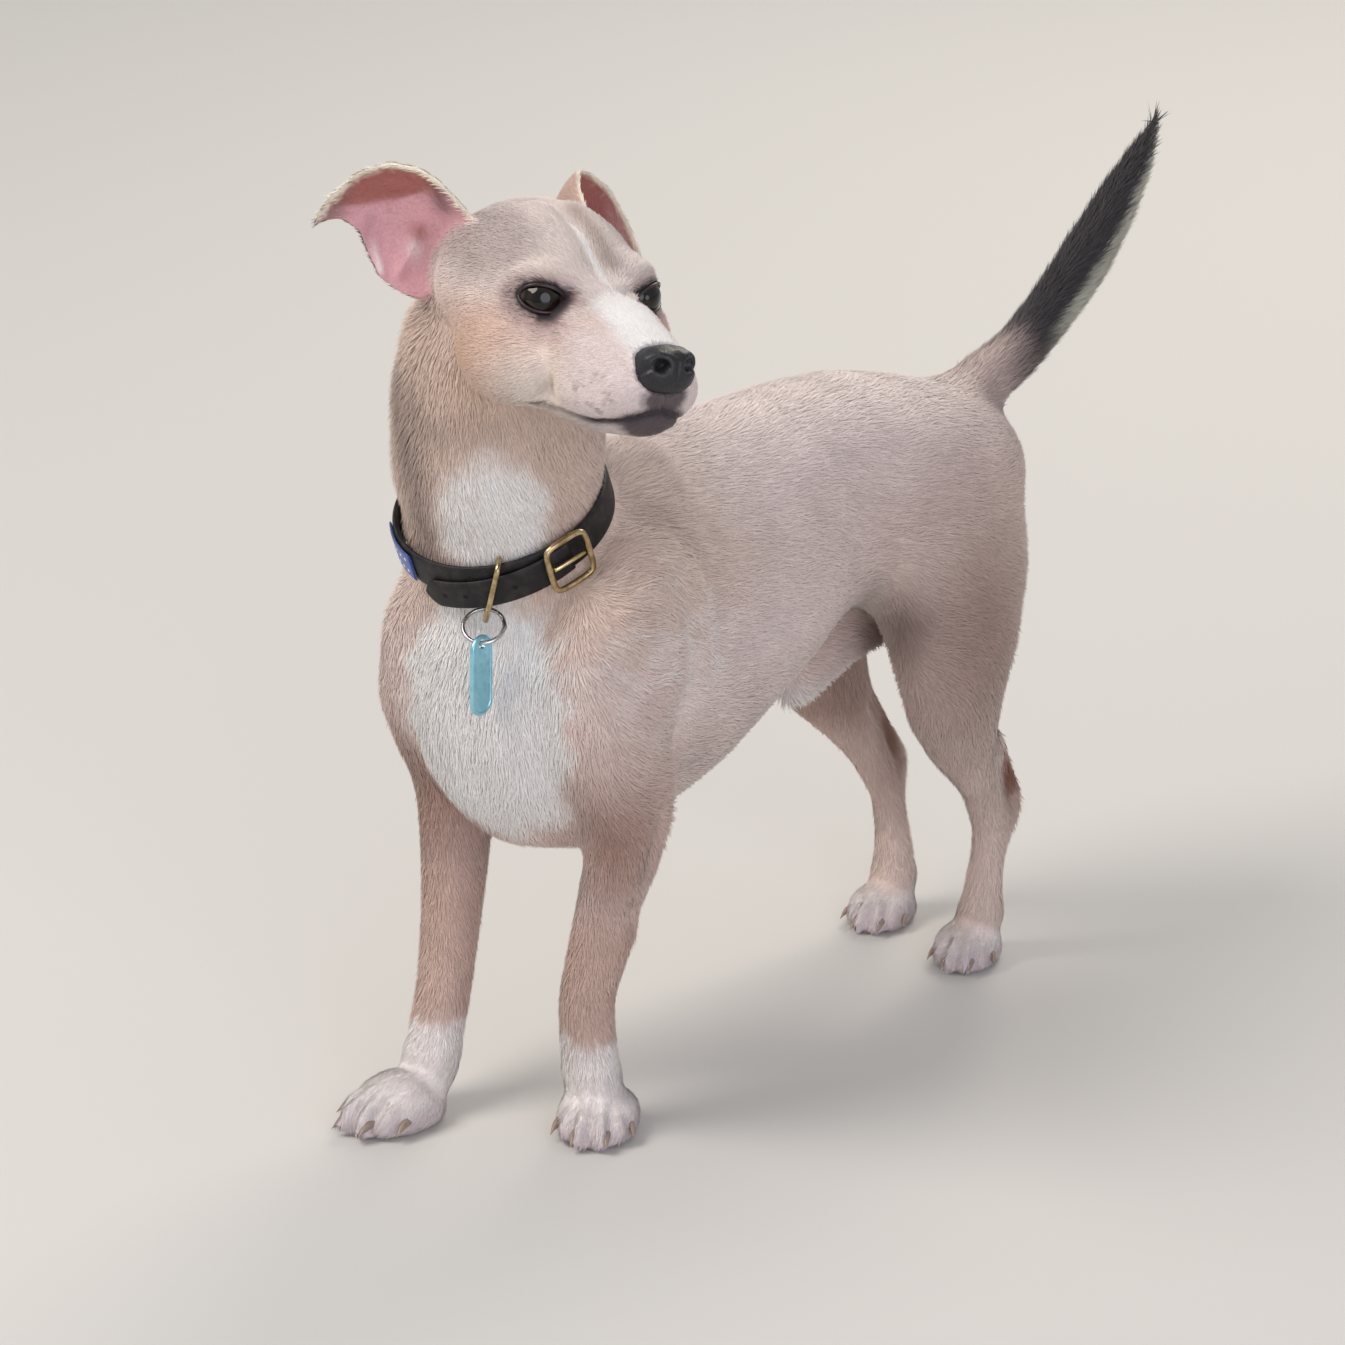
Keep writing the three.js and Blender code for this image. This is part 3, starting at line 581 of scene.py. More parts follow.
paws = [((38, -128), 33, 1.0), ((-36, -180), -4, 1.05), ((36, 139), 26, 0.86), ((-26, 151), 20, 0.86)]
toes = dict(between=9.6, groove=2.3, width=1.8, pad=0.9, behind=6.0)
bodyForms = [
    # hollows before each heel's tendon, and the ridges that edge them
    ([(47, 152, 97), (46, 157, 88), (45, 160, 80)], 4.2, -3.0),
    ([(46, 145, 100), (45, 148, 88), (43, 154, 76)], 3.0, 0.9),
    ([(-30, 149, 110), (-26, 157, 97), (-25, 163, 84)], 4.6, -3.2),
    ([(-28, 142, 106), (-26, 148, 93), (-25, 157, 78)], 3.2, 0.9),
    # shoulder blade and arm, the elbow fold, ribs' end and the flank
    ([(62, -138, 262), (69, -134, 226), (68, -140, 192)], 11, 1.8),
    ([(66, -106, 262), (71, -100, 226), (66, -106, 186)], 8, -2.2),
    ([(-62, -138, 262), (-69, -134, 226), (-68, -140, 192)], 11, 1.8),
    ([(-66, -106, 262), (-71, -100, 226), (-66, -106, 186)], 8, -2.2),
    ([(66, -92, 262), (73, -84, 226), (68, -86, 186)], 7, 1.0),
    ([(52, -106, 172), (60, -88, 158)], 8, -2.0),
    ([(0, -170, 232), (0, -172, 205), (-1, -166, 180)], 9, -1.6),
    ([(66, 34, 262), (58, 40, 226), (50, 46, 200)], 20, -2.4),
    ([(-66, 34, 262), (-58, 40, 226), (-50, 46, 200)], 20, -2.4),
    ([(52, 78, 196), (50, 74, 176), (48, 80, 158)], 8, 1.2),
    # leaner behind the left elbow
    ([(68, -120, 156), (66, -120, 137), (61, -121, 121), (57, -122, 108)], 9, -6.0),
]


def pawForms(points):
    # grooves between four toes on each foot, fanning out forwards
    total = np.zeros(len(points))
    for middle, turn, size in paws:
        a = math.radians(turn)
        away = (points[:, :2] - middle) / size
        ahead = away @ (math.sin(a), -math.cos(a))
        aside = away @ (math.cos(a), math.sin(a)) / (0.62 + 0.38 * np.clip(ahead, 0, 30) / 29)
        here = (np.hypot(*away.T) < 42) * smooth(toes["behind"], toes["behind"] + 10, ahead)
        here = here * smooth(0.5, 4, points[:, 2]) * smooth(40, 26, points[:, 2] / size)
        for place in (-toes["between"], 0, toes["between"]):
            total -= here * toes["groove"] * size * bell(aside, place, toes["width"])
        for place in (-1.45, -0.5, 0.5, 1.45):
            total += here * toes["pad"] * bell(aside, place * toes["between"], 3.4)
    return total


body = skinAt - home
amount = pawForms(body) * smooth(0.2, 0.7, onPaw)
for path, width, height in bodyForms:
    amount = amount + height * line(body, path, width) * (1 - onHead)
skinAt = skinAt + normalsOf(skinAt, skinTris) * amount[:, None]
skinAt = near.relax(skinAt, 2, 0.4 * (1 - onHead) * (1 - onEar))
print("feet and trunk sculpted")

# Finer faces round the eyes, the nose and the mouth

eye = dict(radius=10.5, middle=(-5.5, 23.5, -0.5), gaze=30.0, tilt=6.0, inner=60.0, outer=60.0, up=32.0,
           down=27.0, lid=1.35, behind=2.6, cornea=0.6, deepest=4.2)
finer = dict(aroundEye=21.0, muzzleFrom=8.0)


def eyeMiddle(side):
    return np.array(eye["middle"]) * (1, side, 1)


def subdivided():
    mesh = meshOf("skin", skinAt, skinTris)
    giveFields(mesh)
    local = toHead(skinAt)
    wanted = (local[:, 0] > finer["muzzleFrom"]) & (local[:, 2] < 6)
    for side in (1, -1):
        wanted |= np.linalg.norm(local - eyeMiddle(side), axis=1) < finer["aroundEye"]
    wanted &= onHead > 0.3
    body = bmesh.new()
    body.from_mesh(mesh)
    body.verts.ensure_lookup_table()
    edges = [e for e in body.edges if wanted[e.verts[0].index] and wanted[e.verts[1].index]]
    bmesh.ops.subdivide_edges(body, edges=edges, cuts=1, use_grid_fill=True)
    body.to_mesh(mesh)
    body.free()
    return mesh, readFields(mesh)


skinMesh, fields = subdivided()
onEar, onHead, onPaw, onLeg, onTail, onNose = fields.values()
near = Neighbours(skinMesh)
skinAt = meshPoints(skinMesh)
skinTris = meshTris(skinMesh)
local = toHead(skinAt)
skinAt = near.relax(skinAt, 4, 0.5 * smooth(0.3, 0.6, onHead) * smooth(-20, 0, local[:, 0]))
print("skin made finer on the face,", len(skinAt), "points")

# Lids: the skin hugs each eyeball round an almond opening and dips behind the ball within it


def eyeDirections(local, side):
    # distance from the eye's middle, and the turn outwards and upwards from its gaze, in degrees
    turn = math.radians(eye["gaze"])
    away = local - eyeMiddle(side)
    far = np.maximum(np.linalg.norm(away, axis=1), 1e-6)
    ahead = away @ (math.cos(turn), side * math.sin(turn), 0)
    outward = away @ (-math.sin(turn), side * math.cos(turn), 0)
    a = np.degrees(np.arctan2(outward, ahead))
    b = np.degrees(np.arcsin(np.clip(away[:, 2] / far, -1, 1)))
    b = b - eye["tilt"] * np.sin(np.radians(a))
    return far, a, b


def opening(a, b):
    # 1 at the edge of the lids, less between them
    wide = np.where(a > 0, eye["outer"], eye["inner"])
    high = np.where(b > 0, eye["up"], eye["down"])
    return (np.abs(a / wide) ** 2.1 + np.abs(b / high) ** 1.55) ** (1 / 1.8)


def fitLids(points):
    points = points.copy()
    local = toHead(points)
    for side in (1, -1):
        far, a, b = eyeDirections(local, side)
        q = opening(a, b)
        beyond = np.hypot(a, b) * (1 - 1 / np.maximum(q, 1e-6))
        inside = eye["radius"] - eye["behind"]
        lid = eye["radius"] + eye["lid"]
        target = inside + (lid - inside) * smooth(-0.5, 5.5, beyond)
        target = target + (far - target) * smooth(7, 30, beyond)
        deep = eye["deepest"] + 6 * smooth(4, 1, beyond)
        target = np.maximum(target, np.minimum(far, far - deep * (far > target)))
        moves = (far < 30) & (np.hypot(a, b) < 112) & (onHead > 0.3)
        new = eyeMiddle(side) + (local - eyeMiddle(side)) * (target / far)[:, None]
        points[moves] = fromHead(new[moves])
    return points


skinAt = fitLids(skinAt)
local = toHead(skinAt)
soft = np.zeros(len(skinAt))
for side in (1, -1):
    far, a, b = eyeDirections(local, side)
    soft = np.maximum(soft, smooth(1.3, 1.75, opening(a, b)) * smooth(40, 30, far) * (far > 11))
skinAt = near.relax(skinAt, 14, 0.5 * soft * smooth(0.3, 0.6, onHead))
skinAt = shaped(skinAt, skinTris, mouthForms, smooth(0.05, 0.4, onHead))
earForms = [  # the rims of the hollow, the slit beside it and the crease below the folded flap
    ([(-80, -41, 25), (-83, -41, 11), (-86, -47, -2)], 2.6, 2.2),
    ([(-87, -57, 24), (-88, -57, 8), (-87, -54, -2)], 2.2, 1.6),
    ([(-88, -61, 22), (-88.5, -62, 9)], 1.8, -1.0),
    ([(-95, -74, 25), (-88, -62, 27), (-80, -50, 31), (-73, -45, 36)], 2.4, -1.0),
    ([(-95, -78, 31), (-88, -66, 33), (-81, -56, 37)], 3.5, 1.0),
]
inward = insideEar(local, normalsOf(skinAt, skinTris)) * smooth(0.2, 0.6, onEar)
for path, width, height in earForms:
    lift = height * line(toHead(skinAt), path, width) * inward
    skinAt = skinAt + normalsOf(skinAt, skinTris) * lift[:, None]
lidForms = [  # a fold above each lid, and a bag below
    ([(5, 13, 9), (4, 22, 11.5), (-3, 31, 9)], 1.8, -0.5),
    ([(13, 17, -7), (10, 27, -12), (2, 35, -10)], 1.8, -0.6),
]
skinAt = shaped(skinAt, skinTris, lidForms, smooth(0.05, 0.4, onHead))
print("face sculpted")


# Eyes

def tube(path, radii, sides=8, closed=True):
    # a swept round bead through points, its ends drawn to a point where it isn't closed
    path = np.asarray(path, float)
    count = len(path)
    ahead = np.roll(path, -1, 0) - np.roll(path, 1, 0)
    if not closed:
        ahead[0], ahead[-1] = path[1] - path[0], path[-1] - path[-2]
    ahead = unit(ahead)
    aside = np.cross(ahead, (0.13, 0.31, 0.94))
    aside = unit(aside)
    over = np.cross(ahead, aside)
    turn = np.arange(sides) * 2 * math.pi / sides
    ring = aside[:, None] * np.cos(turn)[:, None] + over[:, None] * np.sin(turn)[:, None]
    points = (path[:, None] + ring * np.broadcast_to(radii, count)[:, None, None]).reshape(-1, 3)
    faces = []
    for i in range(count if closed else count - 1):
        for k in range(sides):
            j, m = (i + 1) % count, (k + 1) % sides
            faces.append((i * sides + k, i * sides + m, j * sides + m, j * sides + k))
    if not closed:
        faces += [tuple(reversed(range(sides))), tuple(range((count - 1) * sides, count * sides))]
    return points, faces


def finish(piece, material, slot, *replaced):
    piece.data.materials.clear()
    piece.data.materials.append(material)
    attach(piece, "root")
    if replaced:
        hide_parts(*replaced)
    return piece


def eyeMaterial():
    # a living eye: a dark brown iris under clear wet cornea, so one sharp highlight and depth
    material, tree, shader = newMaterial("wet brown eye", Roughness=0.12, IOR=1.38)
    shader.inputs["Specular IOR Level"].default_value = 0.15
    shader.inputs["Coat Weight"].default_value = 0.75
    shader.inputs["Coat Roughness"].default_value = 0.02
    turn = addNode(tree, "ShaderNodeAttribute", attribute_name="fromGaze")
    place = addNode(tree, "ShaderNodeTexCoord")
    spokes = addNode(tree, "ShaderNodeTexNoise",
                     {"Vector": place.outputs["Object"], "Scale": 900, "Detail": 4})
    ramp = addNode(tree, "ShaderNodeValToRGB", {"Fac": turn.outputs["Fac"]})
    stops = [(0.0, "#050405"), (0.20, "#060404"), (0.225, "#170d09"), (0.36, "#28170f"), (0.44, "#140b08"),
             (0.50, "#0d0908"), (0.58, "#4c3b35"), (0.75, "#8a7469")]
    while len(ramp.color_ramp.elements) < len(stops):
        ramp.color_ramp.elements.new(0.5)
    for element, (place01, colour) in zip(ramp.color_ramp.elements, stops):
        element.position = place01
        element.color = linear(colour)
    mix = addNode(tree, "ShaderNodeMix", {"Factor": 0.35, 6: ramp.outputs["Color"]},
                  data_type="RGBA", blend_type="MULTIPLY")
    tree.links.new(spokes.outputs["Fac"], mix.inputs[7])
    tree.links.new(mix.outputs[2], shader.inputs["Base Color"])
    return material


def addEye(side, name):
    rings, spokes = 72, 96
    turn = math.radians(eye["gaze"])
    ahead = np.array([math.cos(turn), side * math.sin(turn), 0.0])
    aside = np.array([-math.sin(turn), side * math.cos(turn), 0.0])
    polar = np.linspace(0, 180, rings + 1)[1:-1]
    radius = eye["radius"] + eye["cornea"] * smooth(40, 20, polar)
    around = np.arange(spokes) * 2 * math.pi / spokes
    across = np.cos(around)[:, None] * aside + np.sin(around)[:, None] * (0, 0, 1)
    angle = np.radians(polar)
    rows = np.cos(angle)[:, None, None] * ahead + np.sin(angle)[:, None, None] * across
    rows = rows * radius[:, None, None]
    front, rear = ahead * (eye["radius"] + eye["cornea"]), -ahead * eye["radius"]
    points = np.concatenate([[front], rows.reshape(-1, 3), [rear]])
    faces = []
    for k in range(spokes):
        m = (k + 1) % spokes
        faces.append((0, 1 + k, 1 + m))
        for i in range(rings - 2):
            a = 1 + i * spokes
            faces.append((a + k, a + spokes + k, a + spokes + m, a + m))
        last = 1 + (rings - 2) * spokes
        faces.append((last + k, len(points) - 1, last + m))
    piece = newObject(name, fromHead(eyeMiddle(side) + points), faces)
    giveValues(piece, "fromGaze", np.concatenate([[0], np.repeat(polar, spokes), [180]]) / 90)
    return piece


def lidEdge(side, share, q=1.03, out=0.8):
    # points round the opening's edge, a little outside the ball
    c, s = np.cos(share * 2 * math.pi), np.sin(share * 2 * math.pi)
    wide = np.where(c > 0, eye["outer"], eye["inner"])
    high = np.where(s > 0, eye["up"], eye["down"])
    a = np.radians(q * wide * np.sign(c) * np.abs(c) ** (2 / 2.1))
    b = q * high * np.sign(s) * np.abs(s) ** (2 / 1.55) + eye["tilt"] * np.sin(a)
    b = np.radians(b)
    turn = math.radians(eye["gaze"])
    ahead = np.array([math.cos(turn), side * math.sin(turn), 0.0])
    outer = np.array([-math.sin(turn), side * math.cos(turn), 0.0])
    level = np.cos(a)[:, None] * ahead + np.sin(a)[:, None] * outer
    d = np.cos(b)[:, None] * level + np.sin(b)[:, None] * (0, 0, 1)
    return eyeMiddle(side) + d * (eye["radius"] + out)


def lidRimMaterial():
    # bare, pigmented rim skin, moist: darker than the coat with a soft shine
    material, tree, shader = newMaterial("moist dark lid skin", Roughness=0.3)
    place = addNode(tree, "ShaderNodeTexCoord")
    grain = addNode(tree, "ShaderNodeTexNoise",
                    {"Vector": place.outputs["Object"], "Scale": 1400, "Detail": 3})
    tint = addNode(tree, "ShaderNodeValToRGB", {"Fac": grain.outputs["Fac"]})
    tint.color_ramp.elements[0].color = linear("#1c1517")
    tint.color_ramp.elements[1].color = linear("#3d2e31")
    tree.links.new(tint.outputs["Color"], shader.inputs["Base Color"])
    bump = addNode(tree, "ShaderNodeBump",
                   {"Height": grain.outputs["Fac"], "Strength": 0.3, "Distance": 0.0002})
    tree.links.new(bump.outputs["Normal"], shader.inputs["Normal"])
    return material


wetEye = eyeMaterial()
lidSkin = lidRimMaterial()


def addBead(name, path, radii, sides, closed):
    points, faces = tube(path, radii, sides, closed)
    finish(newObject(name, fromHead(points), faces), lidSkin, "eye")


for side, name in ((1, "left"), (-1, "right")):
    finish(addEye(side, "eyeball_" + name), wetEye, "eye", "eye_" + name)
    share = np.linspace(0, 1, 73)[:-1]
    thick = 0.45 + 0.3 * np.abs(np.sin(share * 2 * math.pi)) ** 0.5
    addBead("lid_rim_" + name, lidEdge(side, share), thick, 8, True)
    corner = lidEdge(side, np.array([0.5]), 0.97, 0.1)[0]
    path = corner + np.outer(np.linspace(-1.3, 1.3, 9), (-0.2, side * 0.9, -0.35))
    addBead("tear_corner_" + name, path, np.sqrt(1 - np.linspace(-0.97, 0.97, 9) ** 2), 10, False)
print("eyes set")

# Nose: bare, finely pebbled leather

nose = dict(voxel=0.6, pebble=0.75)
noseForms = [
    ([(67.2, 6.4, -19.6), (66, 8.6, -18.9)], 2.2, -2.6),
    ([(65.5, 10, -19.6), (62, 13, -22.5), (59, 14.2, -24.2)], 1.1, -1.5),
    ([(66.5, 3.5, -15.5), (64, 9, -14.6), (60.5, 13, -17.4)], 1.6, 0.6),
    ([(69, 0, -18), (68, 0, -26), (65, 0, -34)], 0.9, -1.1),
    ([(60, 0, -11), (66, 0, -15.5)], 1.7, -0.5),
]


def addNose():
    whole = remeshed(*joinedMesh("nose"), nose["voxel"])
    around = Neighbours(whole)
    points = meshPoints(whole)
    easy = around.relax(points, 60, 0.6)
    points = easy + around.relax(points - easy, 30, 0.6)
    tris = meshTris(whole)
    for _ in range(2):
        points = points + normalsOf(points, tris) * strokes(toHead(points), noseForms)[:, None] * 0.5
    points = around.relax(points, 2, 0.4)
    return fastObject("nose_leather", points, tris)


def noseMaterial():
    # the nose's bare skin: near black with a cool shine, covered in rounded pebbles
    material, tree, shader = newMaterial("pebbled nose leather", Roughness=0.46, Specular_IOR_Level=0.5)
    place = addNode(tree, "ShaderNodeTexCoord")
    cells = addNode(tree, "ShaderNodeTexVoronoi",
                    {"Vector": place.outputs["Object"], "Scale": 1000 / nose["pebble"]}, feature="SMOOTH_F1")
    tint = addNode(tree, "ShaderNodeValToRGB", {"Fac": cells.outputs["Distance"]})
    tint.color_ramp.elements[0].color = linear("#26252b")
    tint.color_ramp.elements[1].color = linear("#0f0e11")
    tint.color_ramp.elements[1].position = 0.75
    tree.links.new(tint.outputs["Color"], shader.inputs["Base Color"])
    bump = addNode(tree, "ShaderNodeBump", {"Height": cells.outputs["Distance"], "Strength": 0.5,
                                            "Distance": 0.0003}, invert=True)
    tree.links.new(bump.outputs["Normal"], shader.inputs["Normal"])
    return material


finish(addNose(), noseMaterial(), "nose", "nose")
under = 2.0 * smooth(0.25, 0.8, onNose) + 4.5 * smooth(0.85, 1.0, onNose)
skinAt = skinAt - normalsOf(skinAt, skinTris) * under[:, None]
print("nose made")


# The strap presses the coat, and the neck fills it

def underStrap(points):
    # how far the strap's own axes put each point: along the loop's axis, and out from it
    local = (points - strapMiddle) @ strapTurn.T
    return local, np.linalg.norm(local[:, :2], axis=1)


local, reach = underStrap(skinAt)
pressed = bell(local[:, 2], 0, strap["wide"] * 0.62) * (reach < 75) * (onHead < 0.3) * (onEar < 0.1)
room = strap["radius"] - 0.25
wantedReach = reach + (room - reach) * pressed
skinAt = skinAt + ((local[:, :2] / reach[:, None]) @ strapTurn[:2]) * (wantedReach - reach)[:, None]
print("neck fitted to the strap")


# Markings: one rule for skin and coat, in the stance's axes and the head's

def colourRow(hexColour):
    return np.array(linear(hexColour)[:3])


earRims = dict(
    left=[(-50, 30, 24), (-66, 33, 35), (-84, 42, 43), (-88, 53.5, 39), (-88, 64, 30), (-85, 77, 5)],
    right=[(-50, -30, 24), (-55, -43, 38), (-62, -52, 46), (-77, -62, 47), (-89, -74, 37), (-96, -83, 20)],
)
# Some of these colours stand wholly or partly for painted shade: in the groin, the heel hollows, on the
# belly's underside, in the ear's hollow and slit, under the right ear's folded flap, inside the left ear, at
# the eyes' inner corners, beside the brow furrow and on the right legs.
fur = dict(
    fawn="#e6cec5", back="#f2e1dd", pale="#f1e0dc", undersideShade="#d9cac3", white="#fdf8f6", throat="#fcf5f0",
    neckBandAndFurrowShade="#a8948b", neckTan="#dcbfa9", cheek="#d5a687", cream="#f6e8dc", greyPatch="#bfafac",
    forehead="#e6d9d5", blaze="#fffcfb", muzzle="#ecdcdb", lip="#3f353b", chin="#4d4046", ring="#2a2125",
    underEyeAndCornerShade="#b39693", thigh="#a98d83", tailBase="#b09994", tail="#3b3639", fringe="#c5c3b4",
    armTanAndShade="#ab887b", forearm="#d2b2a4", paw="#f7eeeb", toe="#e6d6da", hockHollowShade="#8a5f4e", hockEdge="#ecd6ca",
    earBack="#c9a697", earPink="#e0a9b0", earRedAndShade="#a9655b", earHollowShade="#6b4c50", earTipAndShade="#8f7068",
    rim="#fbf1dc", streak="#fcf4f0", sheath="#e9e0dc", groinShade="#5d4944")


def furColour(points, facing, ear, head):
    body = points - home
    local = toHead(points)
    x, y, z = body.T
    hx, hy, hz = local.T
    away = np.abs(hy)
    folded = np.stack([hx, away, hz], 1)
    side = np.stack([np.abs(x), y, z], 1)
    colour = np.tile(colourRow(fur["fawn"]), (len(points), 1))

    def paint(name, mask):
        amount = np.clip(mask, 0, 1)[:, None]
        colour[:] = colour * (1 - amount) + colourRow(fur[name]) * amount

    rough = waves(points, 26, 11) * 5
    trunk = (1 - head) * (1 - ear)
    paint("back", trunk * smooth(238, 292, z + rough) * smooth(-150, -90, y))
    paint("pale", trunk * 0.8 * blob(side, (66, -20, 215), (40, 90, 42)))
    # The belly's downward-facing underside is painted darker and greyer: painted shade.
    paint("undersideShade", trunk * smooth(-0.1, -0.75, facing[:, 2]) * smooth(105, 150, z) * smooth(-150, -110, y))
    paint("streak", trunk * 0.45 * blob(side, (66, -116, 236), (34, 46, 50)) * smooth(-0.3, 0.4, waves(
        points * (1, 0.45, 1.2), 17, 21)))
    paint("thigh", trunk * 0.95 * blob(side, (60, 108, 176), (42, 46, 62)))
    for path in ([(58, -112, 270), (67, -107, 245), (71, -102, 216), (67, -108, 186)],
                 [(62, -92, 268), (71, -86, 240), (73, -82, 210)], [(44, -136, 262), (58, -136, 236)]):
        paint("streak", trunk * 0.75 * line(side, path, 4.5 + 1.5 * waves(points, 40, 22)))
    # The right legs' upper parts are painted darker in the arm's tan: painted shade, as that side stands in
    # shade.
    shadedRightSide = trunk * smooth(0, -12, x)
    paint("armTanAndShade", shadedRightSide * 0.5 * smooth(200, 150, z) * smooth(60, 90, z) * smooth(-60, -95, y))
    paint("armTanAndShade", shadedRightSide * 0.65 * smooth(180, 150, z) * smooth(20, 50, z) * smooth(60, 90, y))
    # Painted shade in the groin: between each flank and thigh, and over the sheath's root between the hind
    # legs.
    paint("groinShade", trunk * 0.6 * blob(side, (46, 70, 190), (14, 16, 16)))
    paint("groinShade", trunk * blob(side, (0, 100, 170), (24, 20, 13)))
    paint("armTanAndShade", trunk * 0.9 * blob(side, (60, -140, 150), (26, 30, 44)))
    paint("forearm", trunk * 0.8 * smooth(118, 96, z) * smooth(-60, -90, y))
    paint("fawn", trunk * 0.6 * smooth(118, 96, z) * smooth(60, 90, y))
    # Painted shade in the hollow before each heel's tendon.
    paint("hockHollowShade", trunk * 0.85 * (blob(side, (41, 158, 93), (13, 8, 17))
                                  + blob(side, (33, 163, 90), (12, 8, 17))))
    paint("hockEdge", trunk * 0.7 * (blob(side, (41, 172, 84), (14, 6, 24))
                                     + blob(side, (40, 143, 90), (14, 6, 24))))
    paint("sheath", trunk * np.minimum(1.6 * line(body, [(0, 42, 146), (0, 58, 149), (0, 74, 157)], 11), 1))
    # neck and chest
    neck = trunk * smooth(-20, -90, y) * smooth(225, 262, z)
    paint("neckTan", neck * 0.5)
    paint("neckBandAndFurrowShade", neck * (0.95 * line(body, [(-34, -172, 352), (-25, -181, 326), (-20, -181, 300),
                                                (-17, -174, 270)], 10)
                              + 0.5 * line(body, [(40, -110, 350), (38, -100, 310), (42, -92, 275)], 13)))
    ragged = waves(points, 15, 31) * 4
    paint("neckBandAndFurrowShade", neck * 0.55 * line(body, [(-24, -180, 345), (-5, -182, 338), (14, -179, 345)], 9))
    paint("neckTan", neck * 0.8 * blob(body, (12, -176, 356), (17, 16, 14)))
    paint("throat", trunk * smooth(1.25, 0.8, np.linalg.norm((body - (20, -176, 296)) / (30, 24, 30), axis=1)
                                   + ragged * 0.03))
    paint("white", trunk * smooth(1.2, 0.85, np.linalg.norm((body - (4, -168, 200)) / (47, 42, 60), axis=1)
                                  + ragged * 0.03))
    # feet
    front = smooth(-60, -90, y)
    paint("paw", trunk * front * smooth(50, 42, z + ragged * 1.4))
    paint("hockEdge", trunk * (1 - front) * 0.6 * smooth(60, 40, z + ragged) * smooth(60, 90, y))
    paint("paw", trunk * (1 - front) * smooth(22, 12, z + ragged * 0.6) * smooth(60, 90, y))
    paint("toe", trunk * smooth(16, 7, z) * 0.8)
    # tail
    along = smooth(176, 214, y + rough)
    paint("tailBase", trunk * smooth(140, 176, y) * smooth(205, 232, z) * 0.8)
    paint("tail", trunk * along * smooth(215, 235, z))
    under = smooth(0.25, -0.3, facing[:, 2] - 0.55 * facing[:, 1] - 0.4 * facing[:, 0]) * smooth(206, 232, y)
    paint("fringe", trunk * under * 0.95 * smooth(306, 292, y))
    # head
    paint("forehead", head * 0.85 * smooth(-16, 6, hz))
    fromPatch = np.linalg.norm((folded - (-38, 31, 20)) / (28, 18, 18), axis=1)
    paint("greyPatch", head * (0.95 * smooth(1.45, 0.6, fromPatch + ragged * 0.02)))
    # Painted shade in a strip beside the furrow between the brows, on the left side only, in the neck band's
    # colour.
    paint("neckBandAndFurrowShade", head * 0.75 * line(local, [(-30, 6, 34), (-14, 7, 24), (0, 7, 13)], 4.5) * (hy > 0))
    paint("cheek", head * 1.0 * blob(folded, (-36, 38, -36), (29, 22, 24)))
    paint("cheek", head * 0.5 * blob(folded, (-14, 38, -16), (16, 12, 10)))
    paint("cream", head * 0.95 * blob(folded, (6, 28, -36), (30, 16, 14)))
    paint("cream", head * 0.8 * smooth(-44, -54, hz))
    paint("muzzle", head * smooth(14, 30, hx) * smooth(-6, -14, hz) * 0.85)
    paint("blaze", head * smooth(8, 22, hx) * smooth(16, 9, away) * smooth(-28, -16, hz))
    paint("blaze", head * line(local, [(-44, 0, 38), (-30, 0, 34), (-12, 0, 22), (4, 0, 8), (12, 0, 2)], 1.7))
    paint("cream", head * 0.6 * line(folded, [(10, 15, 8), (2, 23, 13), (-9, 32, 12)], 5))
    paint("underEyeAndCornerShade", head * 0.75 * blob(folded, (9, 26, -11), (8, 9, 6)))
    for one in (1, -1):
        far, a, b = eyeDirections(local, one)
        q = opening(a, b) + waves(points, 4, 41) * 0.06
        close = head * smooth(21, 13.5, far)
        paint("underEyeAndCornerShade", close * smooth(2.15, 1.5, q) * 0.7)
        paint("ring", close * smooth(1.62, 1.2, q))
    # Painted shade at the inner corner of each eye.
    paint("underEyeAndCornerShade", head * 0.8 * blob(folded, (14, 15.5, 1), (5, 4, 4)))
    lips = line(folded, [(-1, 25, -45.5)] + [(x, y, z - 0.3) for x, y, z in mouthLine], 2.3)
    fromChin = np.linalg.norm((local - (53, 0, -45)) / (13, 15, 8.5), axis=1)
    paint("chin", head * 0.95 * smooth(1.25, 0.8, fromChin + ragged * 0.03))
    paint("lip", head * 0.9 * smooth(1.3, 0.7, np.linalg.norm((local - (61, 0, -35)) / (8, 11, 7), axis=1)
                                     + ragged * 0.02))
    paint("lip", head * np.minimum(1.15 * lips, 1))
    spots = np.random.default_rng(71).uniform((25, -42, 0.6), (52, -26, 1.15), (30, 3))
    freckles = sum(np.exp(-((hx - u) ** 2 + (hz - v) ** 2) / r**2) for u, v, r in spots)
    paint("lip", head * 0.42 * np.minimum(freckles, 1) * smooth(8, 12, away) * smooth(20, 34, hx))
    # ears
    inner = ear * insideEar(local, facing)
    paint("earBack", ear * (1 - insideEar(local, facing)) * 0.8)
    paint("earPink", inner)
    right = (hy < 0).astype(float)
    crease = np.interp(away, [42, 50, 62, 76], [38, 31, 27, 25])  # the flap's underside lies above this
    # The underside of the right ear's folded flap, above the crease, is painted red-brown with a brown-grey
    # tip: the fur's own colour darkened with painted shade.
    paint("earRedAndShade", inner * right * 0.95 * smooth(-1.5, 2.5, hz - crease))
    paint("earTipAndShade", inner * right * smooth(-66, -76, hy) * 0.8)
    # Painted shade in a dark stroke by the ear's base.
    paint("earHollowShade", inner * right * 0.9 * line(local, [(-60, -44, 36), (-65, -40, 30)], 4.5))
    paint("earRedAndShade", inner * right * 0.8 * blob(local, (-80, -41, 17), (4.5, 4.5, 4.5)))
